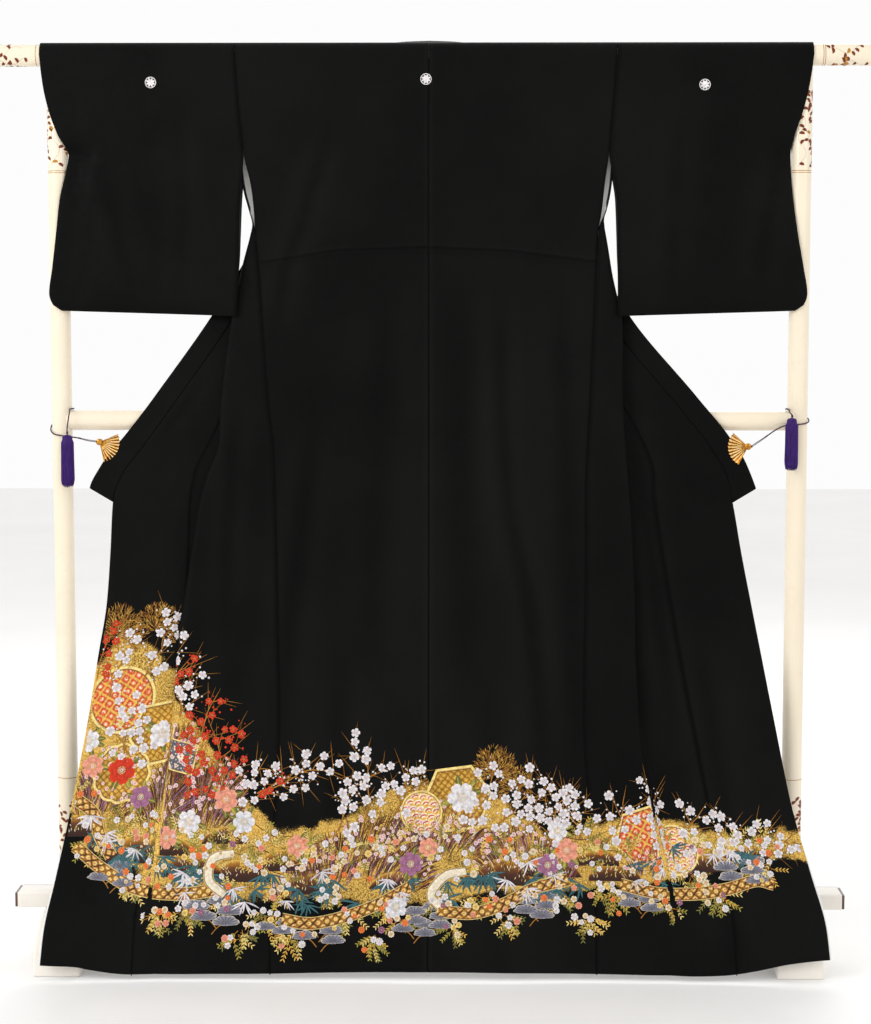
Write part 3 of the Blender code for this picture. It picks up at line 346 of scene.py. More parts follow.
# Light and camera: lamps by name, place, height aimed at, size and power
SKY_STRENGTH = 0.98
LAMPS = (("soft_left", (-3.0, -2.8, 2.6), 0.9, 2.0, 73.0), ("soft_right", (2.9, -2.8, 2.4), 0.8, 2.0, 22.0),
         ("soft_back", (0.6, 3.0, 3.0), 1.0, 2.4, 38.0))
CAMERA_LENS = 81.63
CAMERA_SENSOR = 36.0
CAMERA_PLACE = (0.062, -4.02, 1.198)
CAMERA_DOWN = 5.83
CAMERA_TURN = 0.724


def value(rows, columns, name, key):
    """A column's value between a table's rows, on a smooth curve through them."""
    column = columns.index(name)
    table = sorted((row[0], row[column]) for row in rows)
    keys = [entry[0] for entry in table]
    values = [entry[1] for entry in table]
    if key <= keys[0]:
        return values[0]
    if key >= keys[-1]:
        return values[-1]
    last = len(keys) - 1
    spot = int(np.searchsorted(keys, key, side="right")) - 1
    slopes = [(values[i + 1] - values[i]) / (keys[i + 1] - keys[i]) for i in range(last)]

    def tangent(i):
        if i == 0 or i == last or slopes[i - 1] * slopes[i] <= 0.0:
            return 0.0 if 0 < i < last else slopes[min(i, last - 1)]
        return 2.0 * slopes[i - 1] * slopes[i] / (slopes[i - 1] + slopes[i])

    span = keys[spot + 1] - keys[spot]
    t = (key - keys[spot]) / span
    start, end = values[spot], values[spot + 1]
    return (start * (1 + 2 * t) * (1 - t) ** 2 + end * t * t * (3 - 2 * t)
            + span * t * (1 - t) * (tangent(spot) * (1 - t) - tangent(spot + 1) * t))


def half(side, name, height):
    return value(HALF[side], HALF_COLUMNS, name, height)


def cut(name, height):
    return value(CUT, CUT_COLUMNS, name, height)


def sleeve(name, height):
    return value(SLEEVE, SLEEVE_COLUMNS, name, height)


def smooth(start, end, key):
    """Zero before start, one after end, and a soft step between."""
    t = np.clip((key - start) / (end - start), 0.0, 1.0)
    return t * t * (3.0 - 2.0 * t)


def line_at(points, along):
    """Height of a broken line at distances along it."""
    return np.interp(along, *zip(*points))


def sign(side):
    return -1.0 if side == "left" else 1.0


def hem_lift(x, height):
    """How far a point is raised so that the hem follows its own line."""
    share = 1.0 - smooth(HEM_LEVEL, HEM_FADE, height)
    return (value(HEM, HEM_COLUMNS, "lift", x) - HEM_LEVEL) * share


def front_length(height):
    """Cut width of a front and its overlap panel together at a height."""
    return cut("front", height) + cut("overlap", height)


def front_section(side, height):
    """Plan of a front at a height: arc length, distance from the middle, depth and bend."""
    start = half(side, "front_side", height)
    edge = half(side, "edge", height)
    outer = half(side, "overhang", height)
    length = cut("front", height) + cut("overlap", height)
    turn = cut("turn", height)
    spare = length - (edge - start)
    rolled = value(NECK_ROLL, NECK_ROLL_COLUMNS, "turned", height)
    inner = max(max(outer, 0.0) + spare / 2, length + turn * (0.5 - rolled))
    arc = np.linspace(0.0, length, SECTION_SAMPLES)
    opened = np.clip((arc - outer) / turn + 0.5, 0.0, 1.0)
    closed = np.clip((arc - inner) / turn + 0.5, 0.0, 1.0)
    angle = math.pi * (opened - closed)
    step = length / (SECTION_SAMPLES - 1)
    out = start + np.concatenate(([0.0], np.cumsum(np.cos((angle[1:] + angle[:-1]) / 2)) * step))
    out = out + (edge - out[-1]) * arc / length
    rise = np.concatenate(([0.0], np.cumsum(np.sin((angle[1:] + angle[:-1]) / 2)) * step))
    rise = rise * LAYER_GAP * math.pi / (2 * turn)
    centre = (max(outer, 0.0) + inner) / 2
    depth = cut("fold", height) + rise - np.interp(min(centre, length), arc, rise)
    return arc, out, depth, np.abs(np.gradient(angle, arc))


def spread(arc, bend, first, last, count):
    """Arc lengths of a row's points, closer together where the cloth bends."""
    inside = np.linspace(first, last, SECTION_SAMPLES)
    weight = EVEN_WEIGHT + np.interp(inside, arc, bend) * BEND_WEIGHT
    total = np.concatenate(([0.0], np.cumsum((weight[1:] + weight[:-1]) / 2)))
    return np.interp(np.linspace(0.0, total[-1], count + 1), total, inside)


def front_row(side, height, first, last, count):
    """Points and arc lengths of a front's row between two arc lengths."""
    arc, out, depth, bend = front_section(side, height)
    alongs = spread(arc, bend, first, last, count)
    xs = sign(side) * np.interp(alongs, arc, out)
    ys = np.interp(alongs, arc, depth)
    row = [(x, y, height + hem_lift(x, height)) for x, y in zip(xs, ys)]
    return np.array(row), alongs


def back_side_depth(side, height):
    """Depth of the back's side edge: that of the front where they are sewn together."""
    depth = float(front_section(side, min(height, SEAM_TOP))[2][0])
    if height <= SEAM_TOP:
        return depth
    share = smooth(SEAM_TOP, ROD_Z - 0.03, height)
    return depth * (1.0 - share) - WRAP_R * share


def back_row(side, height):
    """Points and distances along the cloth of the back's row, from the middle seam out."""
    reach = half(side, "back_side", height) - (GAP / 2 if height <= SEAM_TOP else 0.0)
    top_reach = half(side, "back_side", ROD_Z)
    shares = np.concatenate((np.array(NECK_DISTANCES) / top_reach,
                             np.linspace(NECK_HALF / top_reach, 1.0, SIDE_FINE + 1)))
    edge = back_side_depth(side, height)
    middle = cut("middle", height)
    xs = GAP / 2 + (reach - GAP / 2) * shares
    ys = middle + (edge - middle) * smooth(0.30, 1.0, shares)
    row = [(sign(side) * x, y, height + hem_lift(sign(side) * x, height)) for x, y in zip(xs, ys)]
    return np.array(row), xs


def finer(levels, step):
    """Levels with others between them, no further apart than a step."""
    made = [levels[0]]
    for above, below in zip(levels, levels[1:]):
        count = max(1, math.ceil(abs(above - below) / step))
        made += [above + (below - above) * (i + 1) / count for i in range(count)]
    return made


def smooth_path(knots, spacing):
    """Evenly spaced points along a smooth curve through knots of any number of columns."""
    knots = np.array(knots, float)
    ends = np.concatenate(([2 * knots[0] - knots[1]], knots, [2 * knots[-1] - knots[-2]]))
    fine = []
    for a, b, c, d in zip(ends, ends[1:], ends[2:], ends[3:]):
        for t in np.arange(12) / 12:
            fine.append(0.5 * (2 * b + (c - a) * t + (2 * a - 5 * b + 4 * c - d) * t * t
                               + (3 * b - a - 3 * c + d) * t ** 3))
    fine = np.array(fine + [knots[-1]])
    along = np.concatenate(([0.0], np.cumsum(np.linalg.norm(np.diff(fine[:, :3], axis=0), axis=1))))
    count = max(2, round(along[-1] / spacing))
    spots = np.linspace(0.0, along[-1], count + 1)
    return np.stack([np.interp(spots, along, fine[:, k]) for k in range(fine.shape[1])], axis=1)


def folds(points):
    """Depth of the soft folds alone at points seen from the back."""
    x, z = points[..., 0], points[..., 2]
    total = np.zeros(x.shape)
    for width, depth, line in FOLDS:
        zs = np.array([p[1] for p in line][::-1])
        xs = np.array([p[0] for p in line][::-1])
        length = zs[-1] - zs[0]
        across = (x - np.interp(z, zs, xs)) / width
        ends = smooth(zs[0] - 0.25 * length, zs[0] + 0.25 * length, z)
        ends = ends * (1.0 - smooth(zs[-1] - 0.25 * length, zs[-1] + 0.12 * length, z))
        trough = np.exp(-across ** 2) * 0.55 - np.exp(-(across / 2.2) ** 2) * 0.45
        total += depth * ends * trough
    return total


def relief(points):
    """Depth that soft folds, the tuck and the middle seam add at points seen from the back."""
    x, z = points[..., 0], points[..., 2]
    total = folds(points)
    for k, (across, down, size, turn) in enumerate(RIPPLES):
        total -= size * (1.0 + np.sin(across * x * 2.0 + turn + 1.3 * np.sin(down * z + k)))
    beside = (z - line_at(TUCK, x)) / 0.0022
    tucked = smooth(*TUCK_ENDS, np.abs(x))
    total += tucked * (0.0007 * np.exp(-beside ** 2) - 0.0005 * np.exp(-((beside + 2.6) / 1.6) ** 2))
    # Faint print of the middle bar behind the cloth
    total -= 0.0009 * smooth(0.22, 0.17, np.abs(x)) * np.exp(-((z - BAR_Z) / 0.017) ** 4)
    sewn = smooth(1.560, 1.540, z)
    groove, ridge = np.exp(-(x / 0.0016) ** 2) * sewn, np.exp(-((x - 0.0045) / 0.0030) ** 2) * sewn
    total += 0.0007 * groove - 0.0005 * ridge
    at_rod = smooth(1.455, 1.535, z)
    at_sides = smooth(0.575, 0.602, np.abs(x)) * smooth(0.70, 1.10, z)
    return total * ((1.0 - at_rod) * (1.0 - at_sides))


def rolled_hem(points):
    """Depth of the padded roll along the hem."""
    hem = np.array([value(HEM, HEM_COLUMNS, "lift", x) for x in points[..., 0].ravel()])
    above = (points[..., 2] - hem.reshape(points.shape[:-1])) / FUKI
    roll = np.sqrt(np.clip(1.0 - (2.0 * above - 1.0) ** 2, 0.0, 1.0)) * 0.0011
    return -roll + 0.0004 * np.exp(-((above - 1.06) / 0.10) ** 2)


def painted_shading(points):
    """Painted shading of the silk, varied by broad waves: painted highlight on fold ridges, beside the middle
    seam and above the tuck, above a half; painted shade in fold troughs, the middle seam and under the tuck,
    below it.
    """
    x, z = points[..., 0], points[..., 2]
    # Painted shade in the folds' troughs and painted highlight on their ridges
    tone = 0.5 - folds(points) / 0.0034
    tone += 0.09 * np.sin(11.0 * x + 1.7 * np.sin(3.1 * z)) + 0.06 * np.sin(5.3 * z + 2.0 * x)
    # Painted shade along the middle seam, and a painted highlight on the ridge beside it
    seam = smooth(0.0021, 0.0008, np.abs(x))
    tone = tone * (1.0 - seam) + 0.18 * np.exp(-((np.abs(x) - 0.0050) / 0.0030) ** 2)
    # Painted shade in and under the tuck, and a painted highlight above it
    beside = z - line_at(TUCK, x)
    tucked = smooth(*TUCK_ENDS, np.abs(x))
    shade = 0.14 * smooth(-0.020, 0.0, beside) * (beside < 0)
    tone -= tucked * (0.36 * np.exp(-(beside / 0.0020) ** 2) + shade)
    tone += tucked * 0.12 * np.exp(-((beside - 0.0045) / 0.0030) ** 2)
    return np.clip(tone, 0.0, 1.0)


def gold_density(along, height):
    """How much gold dust lies on the cloth at a signed distance along it and a height."""
    low, top = line_at(GOLD_LOW, along), line_at(GOLD_TOP, along)
    return smooth(low - 0.030, low + 0.015, height) * (1.0 - smooth(top - 0.030, top + 0.025, height))


def body_levels():
    levels = [LEVEL_SPANS[0][0]]
    for top, bottom, step in LEVEL_SPANS:
        count = math.ceil((top - bottom) / step - 1e-6)
        levels += [top + (bottom - top) * (i + 1) / count for i in range(count)]
    return levels


def front_points(side, height, first, last, count):
    """A front's row, blended over the short stretch where its edge rolls in below the neck."""
    if not ARMHOLE_BOTTOM < height < ROLL_END:
        return front_row(side, height, first, last, count)
    above, arcs_above = front_row(side, ROLL_END, first, last, count)
    below, arcs_below = front_row(side, ARMHOLE_BOTTOM, first, last, count)
    share = (height - ARMHOLE_BOTTOM) / (ROLL_END - ARMHOLE_BOTTOM)
    return below + (above - below) * share, arcs_below + (arcs_above - arcs_below) * share


def dressed(row, hem=True):
    """A row of points with the folds of the cloth added."""
    row = np.array(row)
    row[:, 1] += relief(row)
    if hem and row[:, 2].min() < 0.070:
        row[:, 1] += rolled_hem(row)
    return row


class Finish:
    """A material whose nodes are made and linked in one call each."""

    def __init__(self, name, **constants):
        self.material = bpy.data.materials.new(name)
        self.material.use_nodes = True
        self.tree = self.material.node_tree
        self.shader = self.tree.nodes["Principled BSDF"]
        self.place = self.add("ShaderNodeTexCoord").outputs["Object"]
        for key, entry in constants.items():
            self.shader.inputs[key.replace("_", " ")].default_value = entry

    def put(self, socket, entry):
        if isinstance(entry, bpy.types.NodeSocket):
            self.tree.links.new(entry, socket)
        else:
            socket.default_value = entry

    def add(self, kind, settings=(), **inputs):
        node = self.tree.nodes.new(kind)
        for key, entry in dict(settings).items():
            setattr(node, key, entry)
        for key, entry in inputs.items():
            self.put(node.inputs[key.replace("_", " ")], entry)
        return node

    def math(self, operation, first, second=0.0, clamp=False):
        node = self.add("ShaderNodeMath", {"operation": operation, "use_clamp": clamp})
        self.put(node.inputs[0], first)
        self.put(node.inputs[1], second)
        return node.outputs[0]

    def noise(self, scale, detail=2.0, stretch=None):
        place = self.place
        if stretch:
            place = self.add("ShaderNodeMapping", Vector=place, Scale=stretch).outputs[0]
        return self.add("ShaderNodeTexNoise", Vector=place, Scale=scale, Detail=detail).outputs[0]

    def reach(self, entry, low=0.3, high=0.7, to_low=0.0, to_high=1.0):
        """Maps a range onto another, held at its ends."""
        node = self.add("ShaderNodeMapRange", Value=entry)
        for key, number in (("From Min", low), ("From Max", high), ("To Min", to_low), ("To Max", to_high)):
            node.inputs[key].default_value = number
        return node.outputs[0]

    def cloud(self, scale, detail=2.0, *span):
        """Noise spread over a range."""
        return self.reach(self.noise(scale, detail), *span)

    def mix(self, share, first, second):
        node = self.add("ShaderNodeMix", {"data_type": "RGBA"})
        self.put(node.inputs[0], share)
        for index, colour in ((6, first), (7, second)):
            self.put(node.inputs[index], (*colour, 1.0) if isinstance(colour, tuple) else colour)
        return node.outputs[2]

    def attribute(self, name, output="Fac"):
        return self.add("ShaderNodeAttribute", {"attribute_name": name}).outputs[output]

    def finish(self, colour, rough, heights=(), metal=None):
        """Links colour, roughness and metal, and a bump for each (height, strength, distance)."""
        for key, entry in (("Base Color", colour), ("Roughness", rough), ("Metallic", metal)):
            if entry is not None:
                self.put(self.shader.inputs[key], entry)
        normal = None
        for height, strength, distance in heights:
            bump = self.add("ShaderNodeBump", Height=height, Strength=strength, Distance=distance)
            if normal:
                self.put(bump.inputs["Normal"], normal)
            normal = bump.outputs[0]
        if normal:
            self.put(self.shader.inputs["Normal"], normal)
        return self.material


def silk_finish(name, with_gold):
    """Black crepe silk, with gold dust where the cloth's gold attribute says so."""
    made = Finish(name, Specular_IOR_Level=0.055, Sheen_Weight=0.012, Sheen_Roughness=0.45)
    colour = made.mix(made.cloud(7.0, 2.0, 0.35, 0.65), *SILK_TONES)
    # Painted shade in creases and seams and painted highlight on fold ridges, from the cloth's shading
    # attribute
    painted_tone = made.attribute("painted_shading")
    colour = made.mix(made.reach(painted_tone, 0.0, 0.5, 1.0, 0.0), colour, SILK_PAINTED_SHADE)
    colour = made.mix(made.reach(painted_tone, 0.5, 1.0, 0.0, 0.8), colour, SILK_PAINTED_HIGHLIGHT)
    rough = made.cloud(90.0, 3.0, 0.3, 0.7, 0.56, 0.70)
    metal = None
    if with_gold:
        grain = made.mix(0.55, made.noise(1900.0, 1.0), made.noise(560.0, 2.0))
        patches = made.cloud(24.0, 4.0, 0.3, 0.7, -0.46, 0.16)
        density = made.math("ADD", made.attribute("gold"), patches)
        dust = made.math("SUBTRACT", made.math("MULTIPLY", density, 1.05), grain)
        dust = made.math("MULTIPLY", dust, 7.0, clamp=True)
        broad = made.mix(made.cloud(17.0, 4.0, 0.35, 0.65), *DUST_TONES)
        foil = made.mix(made.cloud(420.0, 2.0, 0.35, 0.70), broad, DUST_GLINT)
        colour = made.mix(dust, colour, foil)
        metal = made.math("MULTIPLY", dust, 0.45)
        rough = made.math("SUBTRACT", rough, made.math("MULTIPLY", dust, 0.16))
    crepe = made.noise(1150.0, 3.0, (1.0, 1.0, 0.62))
    return made.finish(colour, rough, ((made.noise(34.0), 0.25, 0.0016), (crepe, 0.35, 0.00016)), metal)


def lining_finish():
    """White silk lining, black in its lower part as the hem lining is, and at its bound edges."""
    made = Finish("silk_lining", Specular_IOR_Level=0.25, Sheen_Weight=0.08)
    height = made.add("ShaderNodeSeparateXYZ", Vector=made.place).outputs["Z"]
    lower = made.reach(height, HEM_LINING_TOP, HEM_LINING_TOP + 0.0015, 1.0, 0.0)
    white = made.mix(made.cloud(9.0), (0.84, 0.83, 0.80), (0.90, 0.89, 0.87))
    black = made.math("MAXIMUM", lower, made.reach(made.attribute("bound"), 0.45, 0.55))
    weave = made.noise(900.0, 2.0, (1.0, 1.0, 0.35))
    return made.finish(made.mix(black, white, HEM_LINING), made.reach(weave, 0.3, 0.7, 0.48, 0.60),
                       ((made.noise(30.0), 0.2, 0.0015), (weave, 0.3, 0.0001)))


def white_finish():
    """Plain white silk of the underlayer."""
    made = Finish("silk_white", Specular_IOR_Level=0.25)
    colour = made.mix(made.noise(60.0), (0.72, 0.71, 0.69), (0.86, 0.85, 0.83))
    weave = made.noise(1000.0)
    return made.finish(colour, made.reach(weave, 0.3, 0.7, 0.50, 0.62), ((weave, 0.3, 0.0001),))


def lacquer_finish(name, dark, light, rough):
    """Polished lacquer with faint brush marks, rubbed patches and fine dust pits."""
    made = Finish(name, Coat_Weight=0.35, Coat_Roughness=0.12)
    brush = made.noise(220.0, 2.0, (0.04, 1.0, 0.04))
    rubbed = made.cloud(38.0, 5.0, 0.60, 0.80, 0.0, 0.5)
    colour = made.mix(rubbed, made.mix(made.cloud(5.0, 4.0), dark, light), tuple(0.93 * c for c in dark))
    gloss = made.cloud(14.0, 4.0, 0.3, 0.7, rough, rough + 0.08)
    return made.finish(colour, gloss, ((brush, 0.06, 0.0003), (made.noise(700.0), 0.05, 0.0001)))


def gilt_finish(name, low_tone, raised):
    """Stamped gilt metal, its colour varying at random between two tones; also gives the fan's painted
    highlight and painted shade pleats.
    """
    made = Finish(name, Metallic=1.0)
    colour = made.mix(made.cloud(160.0, 4.0, 0.35, 0.65), low_tone, raised)
    stamp = made.add("ShaderNodeTexVoronoi", Vector=made.place, Scale=520.0).outputs["Distance"]
    return made.finish(colour, made.cloud(90.0, 2.0, 0.3, 0.7, 0.20, 0.36), ((stamp, 0.12, 0.0003),))


def thread_finish(name, dark, light):
    """Rayon thread with a soft sheen along it."""
    made = Finish(name, Sheen_Weight=0.06, Sheen_Roughness=0.35, Specular_IOR_Level=0.25)
    strand = made.noise(700.0, 2.0, (2.2, 2.2, 0.10))
    colour = made.mix(made.reach(strand), dark, light)
    return made.finish(colour, made.reach(strand, 0.3, 0.7, 0.36, 0.54), ((strand, 0.5, 0.0003),))


def paint_finish(name, weave, rough):
    """Dye, thread and foil, or lacquer painting: colour and metal come from each shape."""
    made = Finish(name, Specular_IOR_Level=0.25)
    thread = made.noise(620.0, 2.0, (1.0, 1.0, 0.30))
    grain = made.noise(240.0, 3.0)
    metal = made.attribute("metal")
    colour = made.add("ShaderNodeVectorMath", {"operation": "SCALE"}, Vector=made.attribute("paint", "Color"),
                      Scale=made.reach(grain, 0.3, 0.7, 0.62, 0.98)).outputs[0]
    rough = made.math("SUBTRACT", made.reach(grain, 0.3, 0.7, rough, rough + 0.14),
                      made.math("MULTIPLY", metal, 0.20))
    return made.finish(colour, rough, ((thread, weave, 0.0002),), made.math("MULTIPLY", metal, 0.55))


def floor_finish():
    """Plain pale floor."""
    made = Finish("pale_floor", Specular_IOR_Level=0.2)
    colour = made.mix(made.cloud(1.2, 4.0), (0.86, 0.85, 0.84), (0.90, 0.89, 0.88))
    return made.finish(colour, made.cloud(8.0, 2.0, 0.3, 0.7, 0.42, 0.55))


def add_piece(name, verts, faces, materials, body="root"):
    """A smooth mesh piece that rides on the part."""
    mesh = bpy.data.meshes.new(name)
    mesh.from_pydata([tuple(v) for v in verts], [], [tuple(f) for f in faces])
    for material in materials:
        mesh.materials.append(material)
    mesh.validate()
    made = bpy.data.objects.new(name, mesh)
    bpy.context.scene.collection.objects.link(made)
    mesh.shade_smooth()
    if body:
        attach(made, body)
    return made


def put_values(piece, name, entries, kind="FLOAT", key="value"):
    """Stores a number or colour with each point of a piece."""
    made = piece.data.attributes.new(name, kind, "POINT")
    made.data.foreach_set(key, np.asarray(entries, np.float32).ravel())


def numbered(count, rows):
    """Vertex numbers of rows of equal length."""
    return [list(range(i * count, (i + 1) * count)) for i in range(rows)]


def grid_faces(rows):
    """Quads between rows of equal length, given as rows of vertex numbers."""
    faces = []
    for upper, lower in zip(rows, rows[1:]):
        faces += zip(upper[:-1], upper[1:], lower[1:], lower[:-1])
    return faces


def hub_faces(count):
    """Triangles from vertex 0 to the ring of vertices after it."""
    return [(0, 1 + i, 1 + (i + 1) % count) for i in range(count)]


def ring_faces(count, rings, first=0):
    """Quads between closed rings of vertices, numbered from a first one."""
    return [(a + i, a + count + i, a + count + (i + 1) % count, a + (i + 1) % count)
            for a in range(first, first + (rings - 1) * count, count) for i in range(count)]


def tube_faces(sides, rings):
    """Quads round a tube and its two end caps."""
    faces = [(a + k, a + (k + 1) % sides, a + sides + (k + 1) % sides, a + sides + k)
             for a in range(0, (rings - 1) * sides, sides) for k in range(sides)]
    return faces + [tuple(range(sides))[::-1], tuple(range((rings - 1) * sides, rings * sides))]


def aim(angle):
    """Unit vector at an angle."""
    return np.array((math.cos(angle), math.sin(angle)))


def round_turn(count, turn=0.0):
    """Evenly spaced angles round a turn, and the unit vectors at them."""
    turns = np.arange(count) * 2 * math.pi / count
    return turns, np.stack((np.cos(turns + turn), np.sin(turns + turn)), axis=1)


def turned(points, angle):
    """Flat points turned about the origin."""
    points = np.asarray(points, float)
    cosine, sine = math.cos(angle), math.sin(angle)
    return np.stack((points[..., 0] * cosine - points[..., 1] * sine,
                     points[..., 0] * sine + points[..., 1] * cosine), axis=-1)


def directions(path, least=0.0):
    """Unit vectors along a path at each of its points."""
    ways = np.gradient(path, axis=0)
    return ways / (np.linalg.norm(ways, axis=1)[:, None] + least)


def frames_along(path, hint):
    """Two directions across a path at each of its points, turning as little as they can."""
    ways = directions(path)
    first = np.cross(ways[0], hint)
    frames = []
    for way in ways:
        first = first - way * (first @ way)
        first /= np.linalg.norm(first)
        frames.append((first, np.cross(way, first)))
    return frames


def ring(centre, first, second, radii, count):
    """Points round a centre, in the plane of two directions."""
    turns = np.linspace(0.0, 2 * math.pi, count, endpoint=False)
    return centre + np.outer(np.cos(turns) * radii[0], first) + np.outer(np.sin(turns) * radii[1], second)


def tube_mesh(path, radius, sides):
    """Vertices and faces of a closed tube along a path."""
    path = np.array(path, float)
    sizes = np.broadcast_to(radius, (len(path),))
    verts = [ring(point, first, over, (size, size), sides)
             for point, (first, over), size in zip(path, frames_along(path, (0.31, 0.17, 0.93)), sizes)]
    return np.concatenate(verts), tube_faces(sides, len(path))


def lathe_mesh(profile, sides, axis_point, axis="Z"):
    """Vertices and faces of a closed turned shape from (radius, distance along the axis) pairs."""
    verts = []
    for radius, along in profile:
        for turn in np.linspace(0.0, 2 * math.pi, sides, endpoint=False):
            x, y = radius * aim(turn)
            verts.append((x, y, along) if axis == "Z" else (x, along, y))
    return np.array(verts) + np.array(axis_point), tube_faces(sides, len(profile))


def joined(parts):
    """Several (vertices, faces) as one."""
    verts, faces, start = [], [], 0
    for part_verts, part_faces in parts:
        verts.append(np.array(part_verts))
        faces += [tuple(start + n for n in face) for face in part_faces]
        start += len(part_verts)
    return np.concatenate(verts), faces


def even_normals(piece):
    """Makes the faces of closed shapes look outward."""
    shape = bmesh.new()
    shape.from_mesh(piece.data)
    bmesh.ops.recalc_face_normals(shape, faces=shape.faces)
    shape.to_mesh(piece.data)
    shape.free()


def face_outward(piece):
    """Turns a cloth's faces so that its right side faces the camera's side of the stand."""
    mesh = piece.data
    normals, centres = np.zeros(3 * len(mesh.polygons)), np.zeros(3 * len(mesh.polygons))
    mesh.polygons.foreach_get("normal", normals)
    mesh.polygons.foreach_get("center", centres)
    depths = centres[1::3]
    if normals[1::3][depths <= np.percentile(depths, 30)].mean() > 0:
        mesh.flip_normals()


def add_wall(piece, wall, soft_edge):
    """Gives a cloth its thickness, lined inside, with its rims rounded."""
    face_outward(piece)
    solidify = piece.modifiers.new("wall", "SOLIDIFY")
    solidify.thickness = wall
    solidify.offset = 0.0
    solidify.material_offset = len(piece.data.materials) - 1
    bevel = piece.modifiers.new("rim", "BEVEL")
    bevel.width = soft_edge
    bevel.segments = 2
    bevel.limit_method = "ANGLE"
    bevel.angle_limit = math.radians(62.0)
    bevel.harden_normals = False


def cloth_piece(name, rows, materials, wall=CLOTH, faces=None, gold=None, soft_edge=SOFT_EDGE,
                seams=(), bound=()):
    """A hung cloth over its solid, from rows of points and faces if they aren't a plain grid."""
    verts = np.concatenate([np.array(row) for row in rows])
    painted_tone, edged = painted_shading(verts), np.zeros(len(verts))
    # Painted shade along the seams: their edge points take the seams' low shading value
    painted_tone[list(seams)] = SEAM_PAINTED_SHADE
    edged[list(bound)] = 1.0
    faces = faces or grid_faces(numbered(len(rows[0]), len(rows)))
    piece = add_piece("cloth_" + name, verts, faces, materials)
    for attribute, entries in (("gold", gold), ("painted_shading", painted_tone), ("bound", edged)):
        if entries is not None:
            put_values(piece, attribute, entries)
    add_wall(piece, wall, soft_edge)
    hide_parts(name)
    return piece


def wrap_rows(near, far=None):
    """Rows of a cloth over the rod, from its near row round to its far one."""
    rows = []
    for degrees in range(-75, 90, 15):
        angle = math.radians(degrees)
        row = np.array(near) if far is None else near + (far - near) * (degrees + 90.0) / 180.0
        row[:, 1] = WRAP_R * math.sin(angle)
        row[:, 2] = ROD_Z + WRAP_R * math.cos(angle)
        rows.append(row)
    return rows


def body_cloth(side, materials):
    """One half of the body: back and front in one length of cloth over the shoulder."""
    levels = body_levels()
    rows, golds = [], []
    for height in reversed(levels):
        row, along = back_row(side, height)
        rows.append(dressed(row))
        golds.append(gold_density(sign(side) * along, row[:, 2]))
    for k, row in enumerate(wrap_rows(back_row(side, ROD_Z)[0])):
        rows.append(row if k < WIDE_WRAP_ROWS else row[len(NECK_DISTANCES):])
        golds.append(np.zeros(len(rows[-1])))
    for height in levels:
        first = GAP / 2 + SEAM_END_GAP * smooth(SEAM_PARTS, SEAM_TOP, height)
        if height > SEAM_TOP:
            first = SEAM_END_GAP * (1.0 - smooth(SEAM_TOP, SEAM_APART, height))
        row, arcs = front_points(side, height, first, cut("front", height) - GAP / 2, SIDE_FINE)
        rows.append(dressed(row)[::-1])
        along = sign(side) * (half(side, "back_side", height) + arcs)
        golds.append(gold_density(along, row[:, 2])[::-1])
    starts = np.concatenate(([0], np.cumsum([len(row) for row in rows])))
    numbers = [list(range(a, b)) for a, b in zip(starts, starts[1:])]
    wide = [row for row in numbers if len(row) > SIDE_FINE + 1]
    narrow = [wide[-1][len(NECK_DISTANCES):]] + [row for row in numbers if len(row) == SIDE_FINE + 1]
    seams = [row[-1] for row in numbers] + [row[0] for row in narrow[1:]]
    heights = np.concatenate([np.array(row) for row in rows])[:, 2]
    bound = [n for n in seams if SEAM_TOP < heights[n] < ARMHOLE_BOTTOM + 0.004]
    return cloth_piece("body_" + side, rows, materials, faces=grid_faces(wide) + grid_faces(narrow),
                       gold=np.concatenate(golds), seams=seams, bound=bound)


def overlap_cloth(side, materials):
    """The overlap panel between the front's edge and the collar or the front edge."""
    rows, golds = [], []
    for height in body_levels():
        width = cut("overlap", height)
        if height < OVERLAP_TOP and width > 0.008:
            start = cut("front", height)
            row, arcs = front_row(side, height, start + GAP / 2, start + width, OVERLAP_FINE)
            rows.append(dressed(row))
            golds.append(gold_density(sign(side) * (half(side, "back_side", height) + arcs), row[:, 2]))
    seams = [row[0] for row in numbered(OVERLAP_FINE + 1, len(rows))]
    return cloth_piece("overlap_" + side, rows, materials, gold=np.concatenate(golds), seams=seams)


def collar_rows(side):
    """Rows across the collar from the middle of the neck down to its tip."""
    way = sign(side)
    knots = []
    for out, depth, height, wide, back, up in NECK_STATIONS:
        knots.append((way * out, depth, height, way * wide, back, up))
    for height, wide, back, up in COLLAR_TURN_STATIONS:
        x, y, z = front_row(side, height, 0.0, cut("front", height), 1)[0][1]
        gap = COLLAR_NECK_GAP
        knots.append((x + way * wide * gap, y + back * gap, z + up * gap, way * wide, back, up))
    for height in finer((ARMHOLE_BOTTOM, 0.900, COLLAR_TIP), COLLAR_KNOT_STEP):
        rise = math.radians(value(COLLAR_WIDTH, COLLAR_WIDTH_COLUMNS, "rise", height))
        x, y, z = front_row(side, height, 0.0, front_length(height), 1)[0][1]
        wide, up = way * math.cos(rise), math.sin(rise)
        knots.append((x + wide * COLLAR_GAP, y, z + up * COLLAR_GAP, wide, 0.0, up))
    rows = []
    for knot in smooth_path(knots, COLLAR_STEP):
        start, across = knot[:3], knot[3:] / np.linalg.norm(knot[3:])
        width = value(COLLAR_WIDTH, COLLAR_WIDTH_COLUMNS, "width", start[2])
        rows.append([start + across * width * i / COLLAR_FINE for i in range(COLLAR_FINE + 1)])
    return rows


def collar_cloth(materials):
    """The collar: one folded strip from tip to tip round the back of the neck."""
    rows = collar_rows("left")[::-1] + collar_rows("right")[1:]
    rows = [dressed(row, hem=False) for row in rows]
    return cloth_piece("collar", rows, materials, wall=COLLAR_WALL, soft_edge=COLLAR_SOFT_EDGE)


